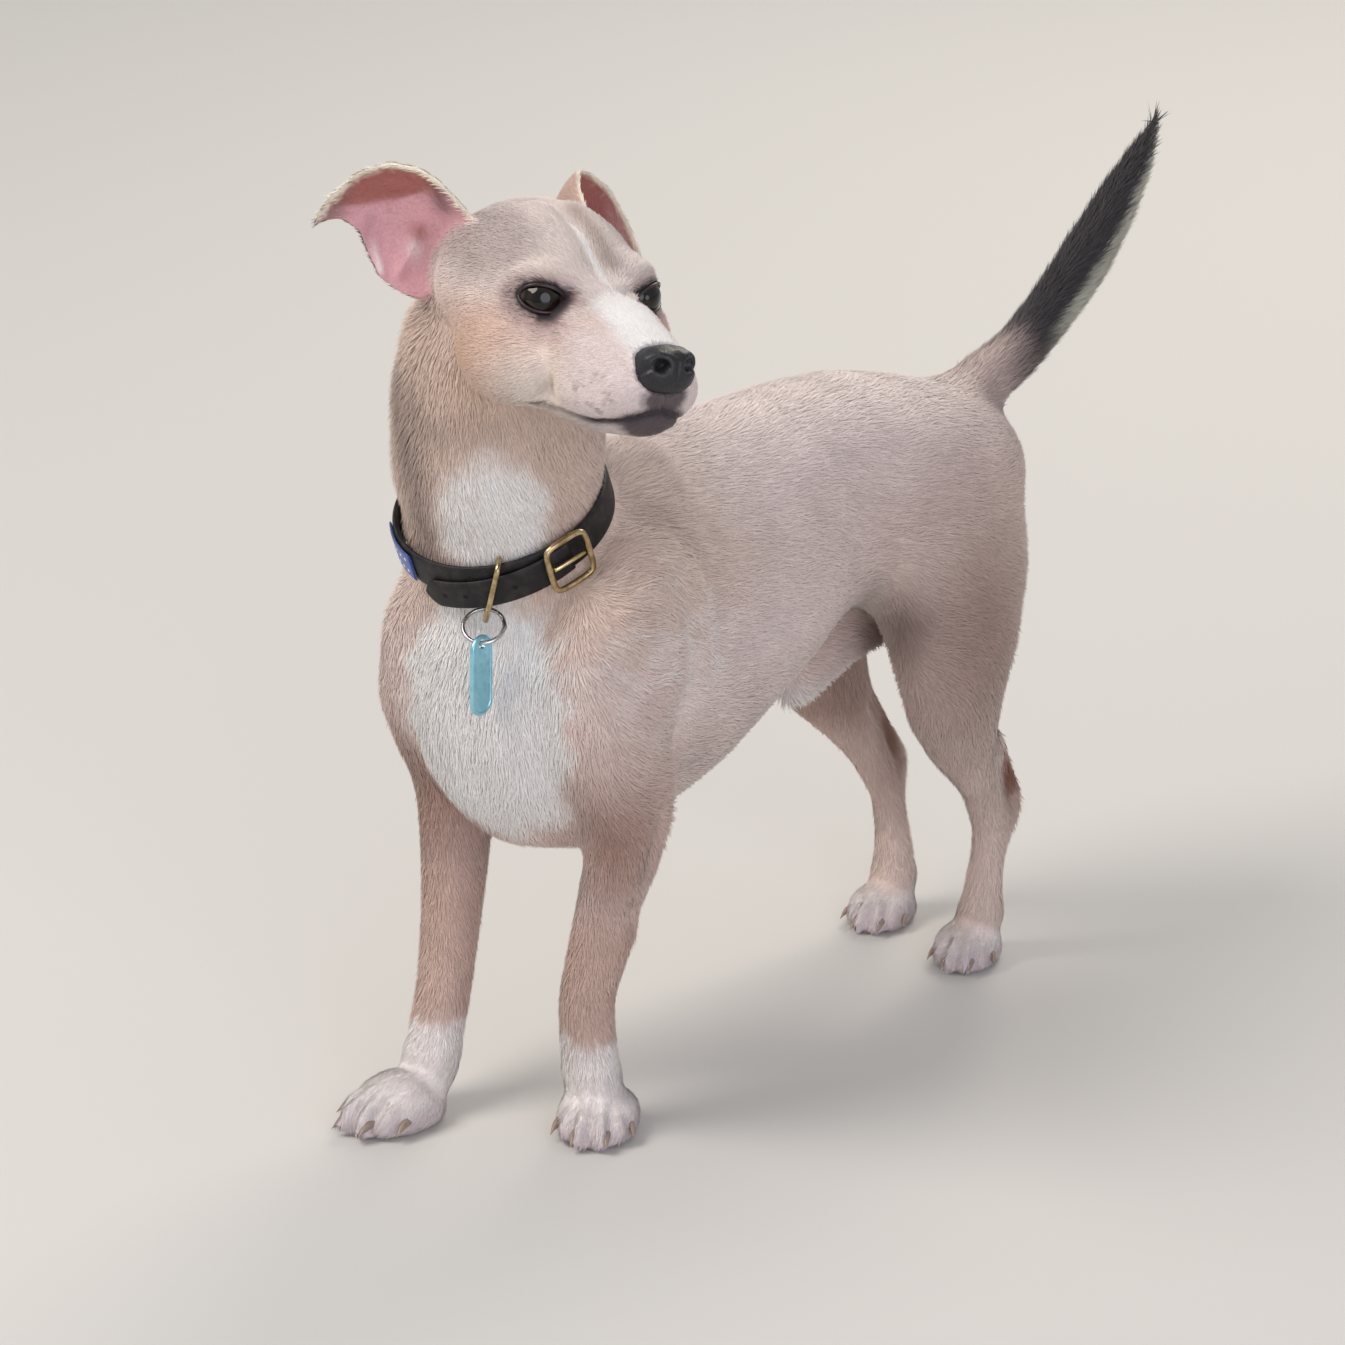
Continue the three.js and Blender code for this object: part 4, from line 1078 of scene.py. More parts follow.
    # Painted shade in the slit beside the hollow.
    paint("earHollowShade", inner * right * 0.8 * line(local, [(-88, -60, 22), (-88, -61, 10)], 2.4))
    paint("white", inner * right * 0.6 * (blob(local, (-83, -41, 10), (3, 3, 5))
                                          + line(local, [(-88, -57, 9), (-87, -55, 0)], 2)))
    # The left ear's inside is painted red-brown: its own colour darkened with painted shade.
    paint("earRedAndShade", inner * (1 - right) * 0.85)
    rim = np.minimum(pathDistance(local, earRims["left"]), pathDistance(local, earRims["right"]))
    paint("rim", ear * smooth(3.4, 1.6, rim))
    grain = 1 + 0.05 * waves(points, 34, 51) + 0.035 * waves(points, 9, 52)
    return np.clip(colour * grain[:, None], 0, 1)


def giveColour(piece, name, colours):
    rows = np.ones((len(colours), 4), np.float32)
    rows[:, :3] = colours
    piece.data.attributes.new(name, "FLOAT_COLOR", "POINT").data.foreach_set("color", rows.ravel())


# The skin lies inside by the coat's depth

coat = dict(depth=0.9, faceDepth=0.35, pieces=8, tufts=345000, seed=5, rounding=0.55)
skinOut = normalsOf(skinAt, skinTris)
local = toHead(skinAt)
faceNear = onHead * smooth(-45, 25, local[:, 0])
depth = coat["depth"] + (coat["faceDepth"] - coat["depth"]) * np.clip(faceNear + onEar + onPaw, 0, 1)
skinAt = skinAt - skinOut * depth[:, None]
skinAt[:, 2] = np.maximum(skinAt[:, 2], 0)  # the soles rest on the floor
skinOut = normalsOf(skinAt, skinTris)
ownColour = furColour(skinAt, skinOut, onEar, onHead)
print("markings laid")


def skinMaterial():
    # pale skin with its own short down: dull, faintly warm, pored, so no clean highlight
    material, tree, shader = newMaterial("downy dog skin", Roughness=0.62, Specular_IOR_Level=0.35)
    own = addNode(tree, "ShaderNodeAttribute", attribute_name="marking")
    place = addNode(tree, "ShaderNodeTexCoord")
    down = addNode(tree, "ShaderNodeTexNoise", {"Vector": place.outputs["Object"], "Scale": 850, "Detail": 5,
                                                "Roughness": 0.7})
    tone = addNode(tree, "ShaderNodeValToRGB", {"Fac": down.outputs["Fac"]})
    tone.color_ramp.elements[0].position = 0.3
    tone.color_ramp.elements[0].color = linear("#ddd8d7")
    tone.color_ramp.elements[1].position = 0.7
    mix = addNode(tree, "ShaderNodeMix", {"Factor": 0.8, 6: own.outputs["Color"], 7: tone.outputs["Color"]},
                  data_type="RGBA", blend_type="MULTIPLY")
    tree.links.new(mix.outputs[2], shader.inputs["Base Color"])
    bump = addNode(tree, "ShaderNodeBump",
                   {"Height": down.outputs["Fac"], "Strength": 0.35, "Distance": 0.0005})
    tree.links.new(bump.outputs["Normal"], shader.inputs["Normal"])
    return material


# The lie of the coat

def coatFlow():
    body = skinAt - home
    x, y, z = body.T
    _, hy, hz = local.T
    flow = np.zeros_like(skinAt)

    def lay(direction, weight):
        flow[:] += np.broadcast_to(np.asarray(direction, float), skinAt.shape) * np.asarray(weight)[:, None]

    trunk = (1 - onHead) * (1 - onEar)
    lay((0, 1, -0.25), trunk * smooth(-170, -120, y) * smooth(120, 190, z) * smooth(330, 290, z))
    lay((0, 0.35, -1), trunk * smooth(-120, -175, y) * smooth(100, 160, z))
    lay((0, 0.42, -0.9), trunk * smooth(240, 290, z) * smooth(-60, -110, y) * 2)
    lay((0, 0.12, -1), trunk * smooth(160, 120, z) * 2)
    lay((0, 0.5, -0.9), trunk * smooth(80, 110, y) * smooth(240, 210, z) * smooth(175, 160, y))
    lay((0, -1, -0.5), trunk * onPaw * 4)
    lay((0, 0.85, 0.6), trunk * smooth(150, 200, y) * smooth(215, 240, z) * 3)
    headFlow = np.stack([-np.ones(len(skinAt)), np.sign(hy) * 0.3 * smooth(0, 12, np.abs(hy)),
                         -0.35 * smooth(10, -30, hz)], 1)
    lay(headFlow @ headTurn, onHead * (1 - onEar) * 1.5)
    lay(np.where(hy[:, None] > 0, (-34, 52, -14), (-46, -53, -4)) @ headTurn / 60, onEar * 2)
    for _ in range(3):
        flow = unit(flow - skinOut * (flow * skinOut).sum(1)[:, None])
        flow = near.relax(flow, 8, 0.5)
    flow = unit(flow - skinOut * (flow * skinOut).sum(1)[:, None])
    shoulder = blob(np.stack([np.abs(x), y, z], 1), (64, -112, 228), (34, 44, 48))
    swirl = 0.28 * waves(skinAt, 70, 61) + 0.55 * waves(skinAt, 30, 62) * shoulder
    return flow * np.cos(swirl)[:, None] + np.cross(skinOut, flow) * np.sin(swirl)[:, None]


flow = coatFlow()
print("coat's lie worked out")

# Tufts: closed slivers, root sunk and tip a little proud

body = skinAt - home
inEar = insideEar(local, skinOut)
rimFar = np.minimum(pathDistance(local, earRims["left"]), pathDistance(local, earRims["right"]))
eyeOpen = np.min([opening(*eyeDirections(local, one)[1:]) + 9.0 * (eyeDirections(local, one)[0] > 20)
                  for one in (1, -1)], axis=0)
muzzleNear = onHead * smooth(5, 40, local[:, 0])
length = 7.5 - 3.3 * onHead - 2.0 * muzzleNear - 3.8 * onEar - 3.6 * onPaw - 1.2 * onLeg + 2.5 * onTail
length = np.clip(length, 1.6, 11)
width = 0.26 + 0.034 * length
density = 1.0 + 0.9 * onHead + 0.7 * muzzleNear + 0.5 * onPaw + 0.4 * onEar + 0.5 * onTail
lay = 8.0 + 7 * onTail
neckEdge = smooth(-5, -25, body[:, 0]) * smooth(290, 320, body[:, 2]) * (1 - onHead) * (1 - onEar)
lay = lay + 16 * neckEdge
strapLocal, strapReach = underStrap(skinAt)
keep = 1 - bell(strapLocal[:, 2], 0, strap["wide"] * 0.6) * (strapReach < 75) * (onHead < 0.3)
keep *= smooth(1.18, 1.5, eyeOpen) * (1 - onNose)
keep *= 1 - onEar * inEar * smooth(1.0, 4.0, rimFar) * 0.97
keep *= smooth(0.4, 1.6, body[:, 2])
density = density * np.clip(keep, 0, 1)


def plantTufts():
    random = np.random.default_rng(coat["seed"])
    a, b, c = (skinAt[skinTris[:, i]] for i in range(3))
    area = 0.5 * np.linalg.norm(np.cross(b - a, c - a), axis=1)
    weight = area * density[skinTris].mean(1)
    total = np.cumsum(weight)
    spots = (np.arange(coat["tufts"]) + random.uniform(0, 1, coat["tufts"])) / coat["tufts"] * total[-1]
    tri = np.minimum(np.searchsorted(total, spots), len(skinTris) - 1)
    u, v = random.uniform(0, 1, (2, coat["tufts"]))
    flip = u + v > 1
    u, v = np.where(flip, 1 - u, u), np.where(flip, 1 - v, v)
    share = np.stack([1 - u - v, u, v], 1)

    def mixed(values):
        picked = values[skinTris[tri]]
        return (picked * (share[:, :, None] if picked.ndim == 3 else share)).sum(1)

    root = mixed(skinAt)
    out = unit(mixed(skinOut))
    along = mixed(flow)
    along = unit(along - out * (along * out).sum(1)[:, None])
    turn = random.normal(0, 0.16, len(root))
    across = np.cross(out, along)
    along = along * np.cos(turn)[:, None] + across * np.sin(turn)[:, None]
    across = np.cross(out, along)
    size = mixed(length) * random.uniform(0.72, 1.25, len(root))
    half = mixed(width) * random.uniform(0.8, 1.2, len(root)) / 2
    rise = np.radians(mixed(lay) + random.normal(0, 2.2, len(root)))
    bend = random.normal(0, 0.05, len(root)) * size
    col = lambda values: values[:, None]
    # the wide middle stands a little above the straight line from back to tip
    sunk = 0.02 * size + 0.12
    partWay = 0.42 / (np.cos(rise) + 0.06)
    crown = partWay * (size * np.sin(rise) + sunk) - sunk + 0.35 * half + 0.02
    back = root - out * col(sunk) - along * col(0.06 * size)
    middle = root + along * col(0.36 * size) + out * col(crown)
    tip = root + along * col(size * np.cos(rise)) + out * col(size * np.sin(rise)) + across * col(bend)
    tufts = np.stack([back, middle + across * col(half), middle - across * col(half), tip], 1)
    tufts[..., 2] -= np.minimum(tufts[..., 2].min(1), 0)[:, None]  # none dips below the floor
    tone = random.normal(1, 0.055, len(root))
    fields = (mixed(onEar), mixed(onHead))
    colour = furColour(root, out, *fields)
    # each lock is shaded with the skin below it, rounded a little across
    curve = across * coat["rounding"]
    shade = unit(np.stack([out - 0.2 * along, out + curve, out - curve, out + 0.25 * along], 1))
    return tufts, root, colour, tone, shade


tufts, roots, tuftColour, tone, tuftShade = plantTufts()
print("tufts planted,", len(tufts))


# Claws

claw = dict(long=8.0, thick=1.9, droop=0.45)


def addClaws():
    # horn: translucent grey-brown, glossy, with faint growth lines along it
    material, tree, shader = newMaterial("worn claw horn", Roughness=0.35)
    place = addNode(tree, "ShaderNodeTexCoord")
    grain = addNode(tree, "ShaderNodeTexNoise",
                    {"Vector": place.outputs["Object"], "Scale": 900, "Detail": 3})
    tint = addNode(tree, "ShaderNodeValToRGB", {"Fac": grain.outputs["Fac"]})
    tint.color_ramp.elements[0].color = linear("#6f5d55")
    tint.color_ramp.elements[1].color = linear("#b39d90")
    tree.links.new(tint.outputs["Color"], shader.inputs["Base Color"])
    shader.inputs["Subsurface Weight"].default_value = 0.1
    skinTree = BVHTree.FromPolygons((skinAt - home).tolist(), skinTris.tolist())
    for foot, (middle, turn, size) in zip(("fore_left", "fore_right", "hind_left", "hind_right"), paws):
        a = math.radians(turn)
        points, faces = [], []
        for place in (-1.42, -0.5, 0.5, 1.42):
            fan = a + math.radians(place * 13)
            ahead = np.array([math.sin(fan), -math.cos(fan), 0.0])
            aside = np.array([math.cos(a), math.sin(a), 0.0])
            start = np.array([*middle, 7.5 * size]) + aside * place * 9.0 * size
            hit = skinTree.ray_cast(Vector(start + ahead * 60), Vector(-ahead))[0]
            if hit is None:
                continue
            t = np.linspace(-0.35, 1, 9)
            path = np.array(hit) + np.outer(t * claw["long"] * size, ahead)
            path[:, 2] -= claw["droop"] * claw["long"] * size * np.clip(t, 0, 1) ** 1.8
            radii = claw["thick"] * size * np.clip(1 - np.clip(t, 0, 1) ** 1.6, 0.08, 1)
            path[:, 2] = np.maximum(path[:, 2], radii + 0.3)
            p, f = tube(path, radii, 10, False)
            faces += [tuple(i + len(points) for i in face) for face in f]
            points += p.tolist()
        finish(newObject("claws_" + foot, np.array(points) + home, faces), material, "coat")


addClaws()
print("claws made")

# Coat pieces

unwrap = dict(faces=24000, angle=66, margin=0.002, patch=0.003)


def unwrappedSkin():
    # an unwrap of the skin's own shape, made on a lighter copy of it
    light = fastObject("light skin", skinAt, skinTris)
    fewer = light.modifiers.new("fewer", "DECIMATE")
    fewer.ratio = unwrap["faces"] / len(skinTris)
    mesh = changedMesh(light)
    copy = bpy.data.objects.new("unwrap", mesh)
    scene.collection.objects.link(copy)
    bpy.context.view_layer.objects.active = copy
    copy.select_set(True)
    bpy.ops.object.mode_set(mode="EDIT")
    bpy.ops.mesh.select_all(action="SELECT")
    bpy.ops.uv.smart_project(angle_limit=math.radians(unwrap["angle"]), island_margin=unwrap["margin"])
    bpy.ops.object.mode_set(mode="OBJECT")
    flat = np.empty(len(mesh.loops) * 2, np.float32)
    mesh.uv_layers.active.data.foreach_get("uv", flat)
    points = meshPoints(mesh)
    tris = meshTris(mesh)
    loops = np.empty(len(mesh.loop_triangles) * 3, np.int32)
    mesh.loop_triangles.foreach_get("loops", loops)
    uv = flat.reshape(-1, 2)[loops].reshape(-1, 3, 2)
    bpy.data.objects.remove(copy)
    return points, tris, uv


def rootPlaces():
    points, tris, uv = unwrappedSkin()
    tree = BVHTree.FromPolygons(points.tolist(), tris.tolist())
    found = [tree.find_nearest(Vector(p)) for p in roots]
    index = np.array([f[2] for f in found])
    spot = np.array([tuple(f[0]) for f in found])
    a, b, c = (points[tris[index][:, i]] for i in range(3))
    ab, ac, ap = b - a, c - a, spot - a
    d00, d01, d11 = (ab * ab).sum(1), (ab * ac).sum(1), (ac * ac).sum(1)
    d20, d21 = (ap * ab).sum(1), (ap * ac).sum(1)
    whole = np.maximum(d00 * d11 - d01 * d01, 1e-12)
    v = np.clip((d11 * d20 - d01 * d21) / whole, 0, 1)
    w = np.clip((d00 * d21 - d01 * d20) / whole, 0, 1)
    u = np.clip(1 - v - w, 0, 1)
    share = np.stack([u, v, w], 1)
    share /= share.sum(1, keepdims=True)
    return (uv[index] * share[:, :, None]).sum(1)


def coatMaterial():
    # short dog hair: each lock has a soft satin sheen along it and slightly paler tips
    material, tree, shader = newMaterial("short dog hair", Roughness=0.55, Specular_IOR_Level=0.4)
    own = addNode(tree, "ShaderNodeAttribute", attribute_name="marking")
    place = addNode(tree, "ShaderNodeTexCoord")
    strand = addNode(tree, "ShaderNodeTexNoise",
                     {"Vector": place.outputs["Object"], "Scale": 1600, "Detail": 2})
    tone = addNode(tree, "ShaderNodeValToRGB", {"Fac": strand.outputs["Fac"]})
    tone.color_ramp.elements[0].position = 0.3
    tone.color_ramp.elements[0].color = linear("#eceae8")
    tone.color_ramp.elements[1].position = 0.62
    mix = addNode(tree, "ShaderNodeMix", {"Factor": 0.8, 6: own.outputs["Color"], 7: tone.outputs["Color"]},
                  data_type="RGBA", blend_type="MULTIPLY")
    tree.links.new(mix.outputs[2], shader.inputs["Base Color"])
    shader.inputs["Sheen Weight"].default_value = 0.12
    shader.inputs["Sheen Roughness"].default_value = 0.4
    return material


sliver = np.array([(0, 2, 1), (1, 2, 3), (0, 1, 3), (0, 3, 2)])
bakePatch = np.array([(-0.5, -0.5), (0.5, -0.5), (-0.5, 0.5), (0.5, 0.5)]) * unwrap["patch"]


def addCoat():
    places = np.clip(rootPlaces(), 0.002, 0.998)
    print("roots placed on the unwrap")
    material = coatMaterial()
    gradient = np.array([0.90, 0.985, 0.985, 1.07])
    for k in range(coat["pieces"]):
        mine = np.arange(k, len(tufts), coat["pieces"])
        points = tufts[mine].reshape(-1, 3)
        tris = (sliver[None] + 4 * np.arange(len(mine))[:, None, None]).reshape(-1, 3)
        piece = fastObject(f"coat_{k + 1}", points, tris)
        shades = tuftColour[mine][:, None] * (tone[mine][:, None] * gradient)[:, :, None]
        giveColour(piece, "marking", np.clip(shades, 0, 1).reshape(-1, 3))
        layer = piece.data.uv_layers.new(name="OFBake")
        corners = places[mine][:, None] + bakePatch[None]
        layer.data.foreach_set("uv", corners.reshape(-1, 2)[tris.ravel()].astype(np.float32).ravel())
        piece.data.normals_split_custom_set_from_vertices(tuftShade[mine].reshape(-1, 3))
        finish(piece, material, "coat")


addCoat()
print("coat made")


# The skin itself, lightened to what the library takes

def addSkin():
    whole = fastObject("whole skin", skinAt, skinTris)
    giveColour(whole, "marking", ownColour)
    group = whole.vertex_groups.new(name="face")
    faceLike = np.nonzero(onHead * smooth(-20, 0, local[:, 0]) > 0.5)[0]
    group.add(faceLike.tolist(), 1.0, "REPLACE")
    fewer = whole.modifiers.new("fewer faces", "DECIMATE")
    fewer.ratio = skin["faces"] / len(skinTris)
    fewer.vertex_group = "face"
    fewer.invert_vertex_group = True
    fewer.vertex_group_factor = 0.6
    piece = smoothObject("skin", changedMesh(whole))
    print("skin faces", len(piece.data.polygons))
    finish(piece, skinMaterial(), "coat", *fleshNodes)


addSkin()
print("skin finished")


# Collar: a black bridle-leather strap, its loose end, a blue woven band and brass fittings

looseEnd = dict(start=-97.0, stop=-14.0, thick=2.2, wide=15.0, drop=8.0, out=3.1)
blueBand = dict(start=-139.0, stop=-106.0, thick=1.2, wide=14.5, out=3.1)


def onStrapAt(degrees, out, height):
    # points by angle round the loop (0 at the dog's left), distance outside the inner face and height
    angle = np.radians(degrees)
    reach = strap["radius"] + np.asarray(out)
    local = np.stack(np.broadcast_arrays(reach * np.cos(angle), reach * np.sin(angle), height), -1)
    return local @ strapTurn + strapMiddle


def strapProfile(thick, wide, groove=0.0, steps=9):
    # half-width shares across a strap with rolled edges, a faint crown and a creased line by each edge
    across = np.sin(np.linspace(-1, 1, 2 * steps + 1) * math.pi / 2)
    top = thick * (1 - 0.55 * np.abs(across) ** 14) - groove * bell(np.abs(across), 0.8, 0.045)
    low = thick * 0.45 * np.abs(across) ** 14
    outline = list(zip(top, across * wide / 2)) + list(zip(low[::-1], across[::-1] * wide / 2))
    return np.array(outline)


def leatherBand(name, start=0.0, stop=360.0, thick=strap["thick"], wide=strap["wide"], drop=0.0, out=0.0,
                pointed=0.0, groove=0.22):
    closed = stop - start >= 360
    steps = int((stop - start) * 0.8)
    outline = strapProfile(thick, wide, groove)
    count = steps if closed else steps + 1
    share = np.arange(count) / steps
    degrees = start + (stop - start) * share
    narrow = np.ones(count)
    if pointed:
        narrow = np.clip(np.sqrt(np.maximum(share * (stop - start), 0.02) / pointed), 0, 1)
    high = outline[:, 1][None] * narrow[:, None] - drop * (1 - share)[:, None]
    deep = outline[:, 0][None] + out
    points = onStrapAt(degrees[:, None], np.broadcast_to(deep, high.shape), high).reshape(-1, 3)
    n = len(outline)
    faces = []
    for i in range(count if closed else count - 1):
        j = (i + 1) % count
        for k in range(n):
            m = (k + 1) % n
            faces.append((i * n + k, i * n + m, j * n + m, j * n + k))
    if not closed:
        faces += [tuple(reversed(range(n))), tuple(range((count - 1) * n, count * n))]
    return newObject(name, points, faces)


def leatherMaterial():
    # vegetable-tanned strap leather, dyed black and waxed: fine pebbled grain, a low satin shine
    # and browner scuffs where the dye has worn
    material, tree, shader = newMaterial("black waxed strap leather", Roughness=0.5, Specular_IOR_Level=0.35)
    place = addNode(tree, "ShaderNodeTexCoord")
    grain = addNode(tree, "ShaderNodeTexVoronoi", {"Vector": place.outputs["Object"], "Scale": 1100})
    wear = addNode(tree, "ShaderNodeTexNoise",
                   {"Vector": place.outputs["Object"], "Scale": 160, "Detail": 6})
    tint = addNode(tree, "ShaderNodeValToRGB", {"Fac": wear.outputs["Fac"]})
    tint.color_ramp.elements[0].position = 0.45
    tint.color_ramp.elements[0].color = linear("#141316")
    tint.color_ramp.elements[1].position = 0.78
    tint.color_ramp.elements[1].color = linear("#3a322f")
    tree.links.new(tint.outputs["Color"], shader.inputs["Base Color"])
    rough = addNode(tree, "ShaderNodeMapRange",
                    {"Value": wear.outputs["Fac"], "To Min": 0.42, "To Max": 0.66})
    tree.links.new(rough.outputs["Result"], shader.inputs["Roughness"])
    bump = addNode(tree, "ShaderNodeBump", {"Height": grain.outputs["Distance"], "Strength": 0.35,
                                            "Distance": 0.0003})
    tree.links.new(bump.outputs["Normal"], shader.inputs["Normal"])
    return material


def webbingMaterial():
    # woven polyester ribbon, deep blue: a ribbed weave of about 0.8 mm with a silky side light
    material, tree, shader = newMaterial("blue woven ribbon", Roughness=0.7)
    place = addNode(tree, "ShaderNodeTexCoord")
    weave = {"Vector": place.outputs["Object"], "Scale": 390, "Distortion": 0.4}
    up = addNode(tree, "ShaderNodeTexWave", weave, bands_direction="Z")
    over = addNode(tree, "ShaderNodeTexWave", weave, bands_direction="DIAGONAL")
    cross = addNode(tree, "ShaderNodeMath", {0: up.outputs["Fac"], 1: over.outputs["Fac"]},
                    operation="MULTIPLY")
    tint = addNode(tree, "ShaderNodeValToRGB", {"Fac": cross.outputs["Value"]})
    tint.color_ramp.elements[0].color = linear("#14357c")
    tint.color_ramp.elements[1].color = linear("#2c63c4")
    tree.links.new(tint.outputs["Color"], shader.inputs["Base Color"])
    bump = addNode(tree, "ShaderNodeBump",
                   {"Height": cross.outputs["Value"], "Strength": 0.5, "Distance": 0.0003})
    tree.links.new(bump.outputs["Normal"], shader.inputs["Normal"])
    shader.inputs["Sheen Weight"].default_value = 0.3
    return material


def threadMaterial(name, colour):
    # waxed linen thread: matt, with its twist showing as fine bands
    material, tree, shader = newMaterial(name, Roughness=0.7)
    place = addNode(tree, "ShaderNodeTexCoord")
    twist = addNode(tree, "ShaderNodeTexWave",
                    {"Vector": place.outputs["Object"], "Scale": 700, "Distortion": 2.0})
    tint = addNode(tree, "ShaderNodeMix",
                   {"Factor": twist.outputs["Fac"], 6: linear(colour), 7: linear("#f2ead8")},
                   data_type="RGBA")
    tree.links.new(tint.outputs[2], shader.inputs["Base Color"])
    return material


def metalMaterial(name, bright, dull, low, high):
    # cast and tumbled metal: mirror-like where it rubs, duller with age between
    material, tree, shader = newMaterial(name, Metallic=1.0, Roughness=low)
    place = addNode(tree, "ShaderNodeTexCoord")
    age = addNode(tree, "ShaderNodeTexNoise", {"Vector": place.outputs["Object"], "Scale": 240, "Detail": 5})
    tint = addNode(tree, "ShaderNodeValToRGB", {"Fac": age.outputs["Fac"]})
    tint.color_ramp.elements[0].position = 0.35
    tint.color_ramp.elements[0].color = linear(dull)
    tint.color_ramp.elements[1].position = 0.65
    tint.color_ramp.elements[1].color = linear(bright)
    tree.links.new(tint.outputs["Color"], shader.inputs["Base Color"])
    rough = addNode(tree, "ShaderNodeMapRange", {"Value": age.outputs["Fac"], "To Min": high, "To Max": low})
    tree.links.new(rough.outputs["Result"], shader.inputs["Roughness"])
    scratch = addNode(tree, "ShaderNodeTexNoise",
                      {"Vector": place.outputs["Object"], "Scale": 1800, "Detail": 3})
    bump = addNode(tree, "ShaderNodeBump",
                   {"Height": scratch.outputs["Fac"], "Strength": 0.12, "Distance": 0.0001})
    tree.links.new(bump.outputs["Normal"], shader.inputs["Normal"])
    return material


leather = leatherMaterial()
finish(leatherBand("leather_strap"), leather, "strap", "collar_strap")
finish(leatherBand("leather_end", pointed=7.0, groove=0.2, **looseEnd), leather, "strap", "collar_end")
finish(leatherBand("ribbon_band", groove=0.0, **blueBand), webbingMaterial(), "band", "collar_band")


def beads(name, spots, material, slot, radius, flat=0.45):
    # small domes standing on the strap: dots, stitch ends and eyelets, each eyelet a near-black disc of
    # painted shade in its hole
    points, faces = [], []
    for degrees, out, height in spots:
        centre = onStrapAt(degrees, out, height)
        away = unit(onStrapAt(degrees, out + 1, height) - centre)
        aside = unit(np.cross(away, strapTurn[2]))
        upward = np.cross(away, aside)
        start = len(points)
        points.append(centre + away * radius * flat)
        for ring, (grow, rise) in enumerate([(0.6, 0.8), (0.9, 0.4), (1.0, 0.0), (1.0, -0.6)]):
            for k in range(14):
                turn = 2 * math.pi * k / 14
                points.append(centre + radius * (grow * (aside * math.cos(turn) + upward * math.sin(turn))
                                                 + away * flat * rise))
        for k in range(14):
            m = (k + 1) % 14
            faces.append((start, start + 1 + k, start + 1 + m))
            for ring in range(3):
                a = start + 1 + ring * 14
                faces.append((a + k, a + 14 + k, a + 14 + m, a + m))
        faces.append(tuple(start + 1 + 42 + k for k in range(14)))
    return finish(newObject(name, points, faces), material, slot)


dotPaint = newMaterial("pale printed dots", Roughness=0.6)
dotPaint[2].inputs["Base Color"].default_value = linear("#dfe6f2")
beads("ribbon_dots", [(degrees, 4.35, height) for degrees in range(-136, -107, 5) for height in (-3.2, 3.2)],
      dotPaint[0], "band", 0.8, 0.12)
# Each punched hole is shown by a near-black disc on the loose end: painted shade in the hole.
holeShade = newMaterial("punched hole shade", Roughness=0.9)
holeShade[2].inputs["Base Color"].default_value = linear("#050506")
beads("strap_holes", [(degrees, looseEnd["out"] + looseEnd["thick"] - 0.02,
                       -looseEnd["drop"] * (looseEnd["stop"] - degrees) / 83) for degrees in (-84, -72, -46)],
      holeShade[0], "strap", 1.3, 0.05)


def addStitches():
    thread = threadMaterial("waxed linen thread", "#cfc4ab")
    points, faces = [], []
    for degrees in (-150.5, -146.5):
        path = [onStrapAt(degrees + 0.6 * t, 2.75 + 0.45 * math.cos(t * math.pi / 2), 3.2 * t)
                for t in np.linspace(-1, 1, 9)]
        p, f = tube(path, 0.42, 7, False)
        faces += [tuple(i + len(points) for i in face) for face in f]
        points += p.tolist()
    finish(newObject("strap_stitches", points, faces), thread, "strap")


addStitches()


def smoothCopy(node, name, swell, levels=2):
    # a CAD fitting's own mesh with its facets rounded off, at the same size
    co, faces = joinedMesh(node)
    piece = fastObject(name, co + normalsOf(co, faces) * swell, faces)
    change = piece.modifiers.new("rounded", "SUBSURF")
    change.levels = change.render_levels = levels
    return smoothObject(name, changedMesh(piece))


brass = metalMaterial("worn brass", "#cdb78c", "#96805a", 0.2, 0.42)
paleBrass = metalMaterial("polished pale brass", "#e2d3a8", "#b59c63", 0.16, 0.34)
steel = metalMaterial("nickel-plated steel", "#cfd0d2", "#9b9c9f", 0.14, 0.3)
finish(smoothCopy("buckle_frame", "brass_buckle", 0.16), brass, "brass", "buckle_frame")
finish(smoothCopy("buckle_prong", "brass_tongue", 0.1), paleBrass, "brass", "buckle_prong")
finish(smoothCopy("collar_link", "brass_link", 0.14), brass, "brass", "collar_link")
finish(smoothCopy("split_ring", "steel_ring", 0.12), steel, "steel", "split_ring")

tagSize = dict(height=37.0, width=14.0, thick=2.2, hole=2.4, holeBelow=4.0, border=1.5)


def stadium(inset, count=72):
    # an upright rounded outline, drawn in by the inset
    half = tagSize["width"] / 2 - inset
    straight = (tagSize["height"] - tagSize["width"]) / 2
    turn = np.linspace(0, 2 * math.pi, count + 1)[:-1]
    x, z = half * np.sin(turn), half * np.cos(turn)
    return np.stack([x, z + straight * np.clip(z / half * 4, -1, 1)], 1)


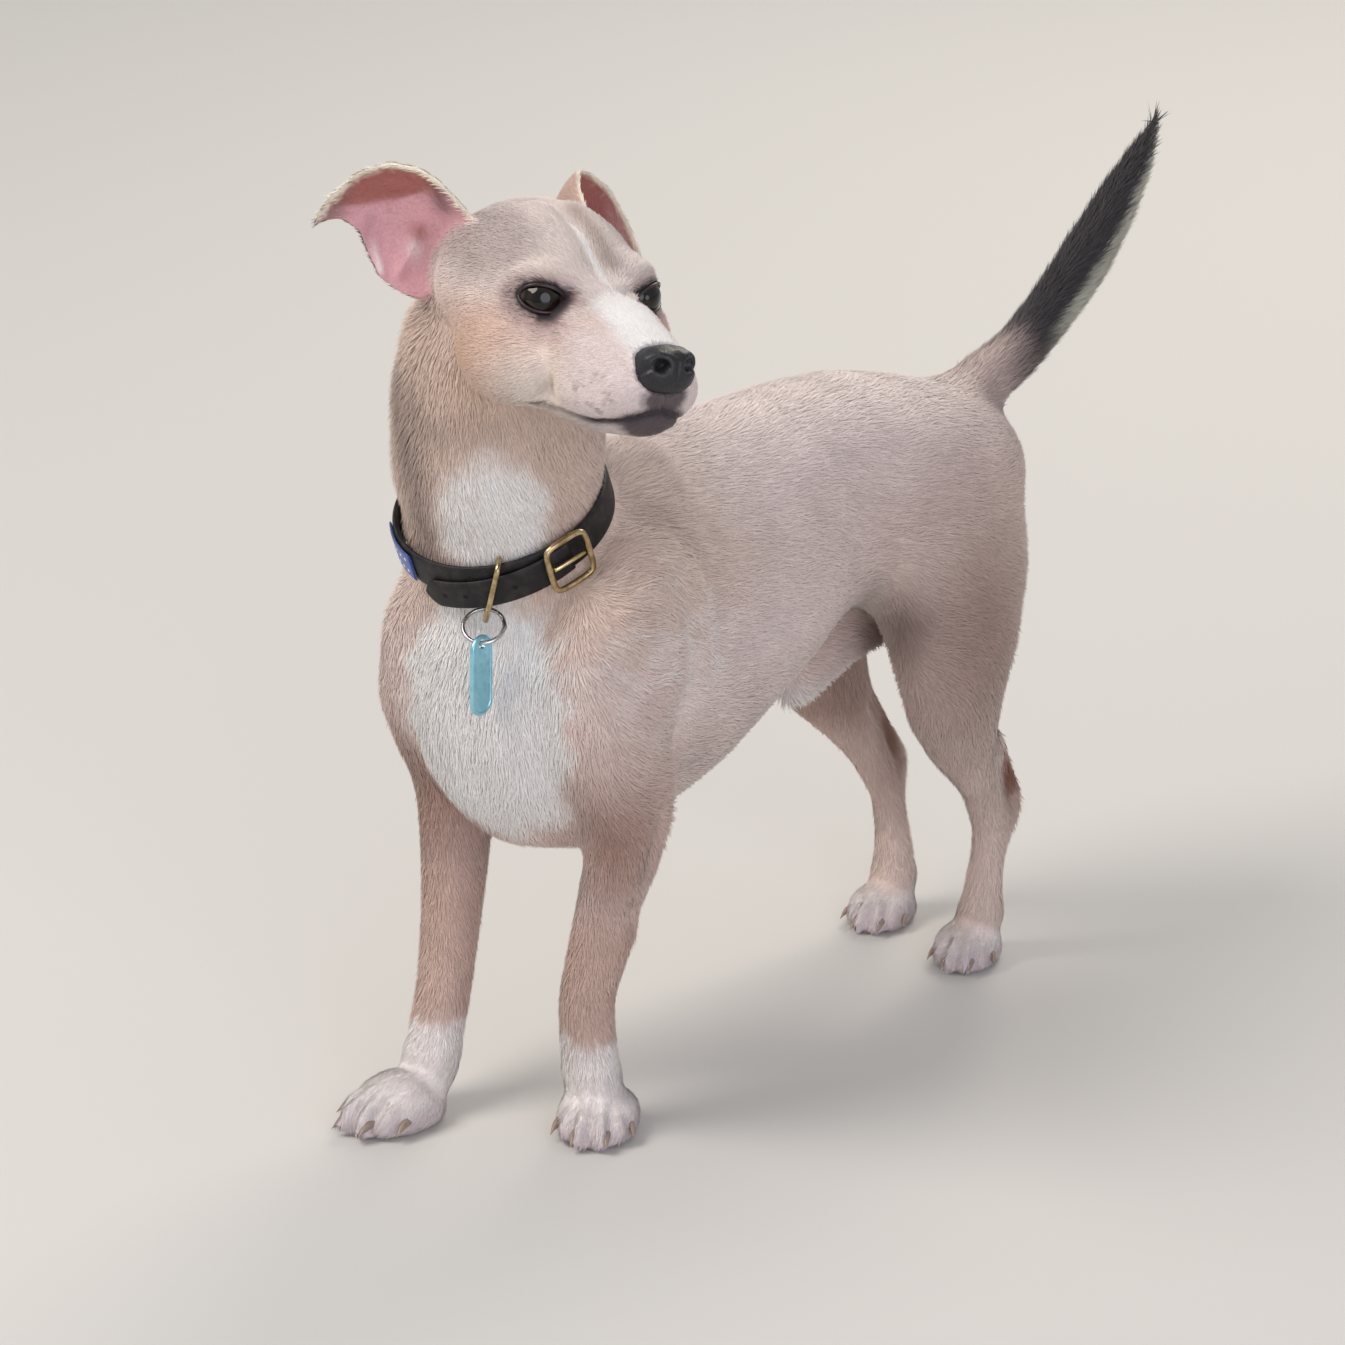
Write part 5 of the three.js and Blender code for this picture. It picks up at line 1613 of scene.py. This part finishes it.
def addTag():
    co = meshPoints(nodes["tag"].data)
    middle = (co.max(0) + co.min(0)) / 2
    _, axes = np.linalg.eigh(np.cov((co - co.mean(0)).T))
    away, aside, upward = axes.T
    upward = upward * np.sign(upward[2])
    away = away * np.sign(away @ (1, -1, 0))
    half = tagSize["thick"] / 2
    count = 72
    turn = np.linspace(0, 2 * math.pi, count + 1)[:-1]
    hole = np.stack([tagSize["hole"] * np.sin(turn), tagSize["hole"] * np.cos(turn)], 1)
    hole = hole + (0, tagSize["height"] / 2 - tagSize["holeBelow"])
    border = tagSize["border"]
    face = [(stadium(0.0), half * 0.45), (stadium(0.25), half * 0.85), (stadium(0.6), half),
            (stadium(border - 0.2), half), (stadium(border + 0.1), half * 0.72), (hole, half * 0.72)]
    rings = face + [(ring, -height) for ring, height in reversed(face)]
    points = np.concatenate([middle + ring[:, :1] * aside + ring[:, 1:] * upward + height * away
                             for ring, height in rings])
    faces = []
    for i in range(len(rings)):
        j = (i + 1) % len(rings)
        for k in range(count):
            m = (k + 1) % count
            faces.append((i * count + k, i * count + m, j * count + m, j * count + k))
    piece = newObject("enamelled_tag", points, faces)
    sharp = piece.modifiers.new("crisp edges", "EDGE_SPLIT")
    sharp.split_angle = math.radians(38)
    # anodised aluminium: a clear turquoise dye over metal, its tone varying at random
    material, tree, shader = newMaterial("turquoise anodised aluminium", Metallic=0.75, Roughness=0.3)
    place = addNode(tree, "ShaderNodeTexCoord")
    age = addNode(tree, "ShaderNodeTexNoise", {"Vector": place.outputs["Object"], "Scale": 300, "Detail": 5})
    tint = addNode(tree, "ShaderNodeValToRGB", {"Fac": age.outputs["Fac"]})
    tint.color_ramp.elements[0].color = linear("#6fb9d0")
    tint.color_ramp.elements[1].color = linear("#b4e6f3")
    tree.links.new(tint.outputs["Color"], shader.inputs["Base Color"])
    brushed = addNode(tree, "ShaderNodeTexNoise",
                      {"Vector": place.outputs["Object"], "Scale": 2200, "Detail": 2})
    bump = addNode(tree, "ShaderNodeBump",
                   {"Height": brushed.outputs["Fac"], "Strength": 0.1, "Distance": 0.0001})
    tree.links.new(bump.outputs["Normal"], shader.inputs["Normal"])
    finish(piece, material, "tag", "tag")


addTag()
print("collar made")
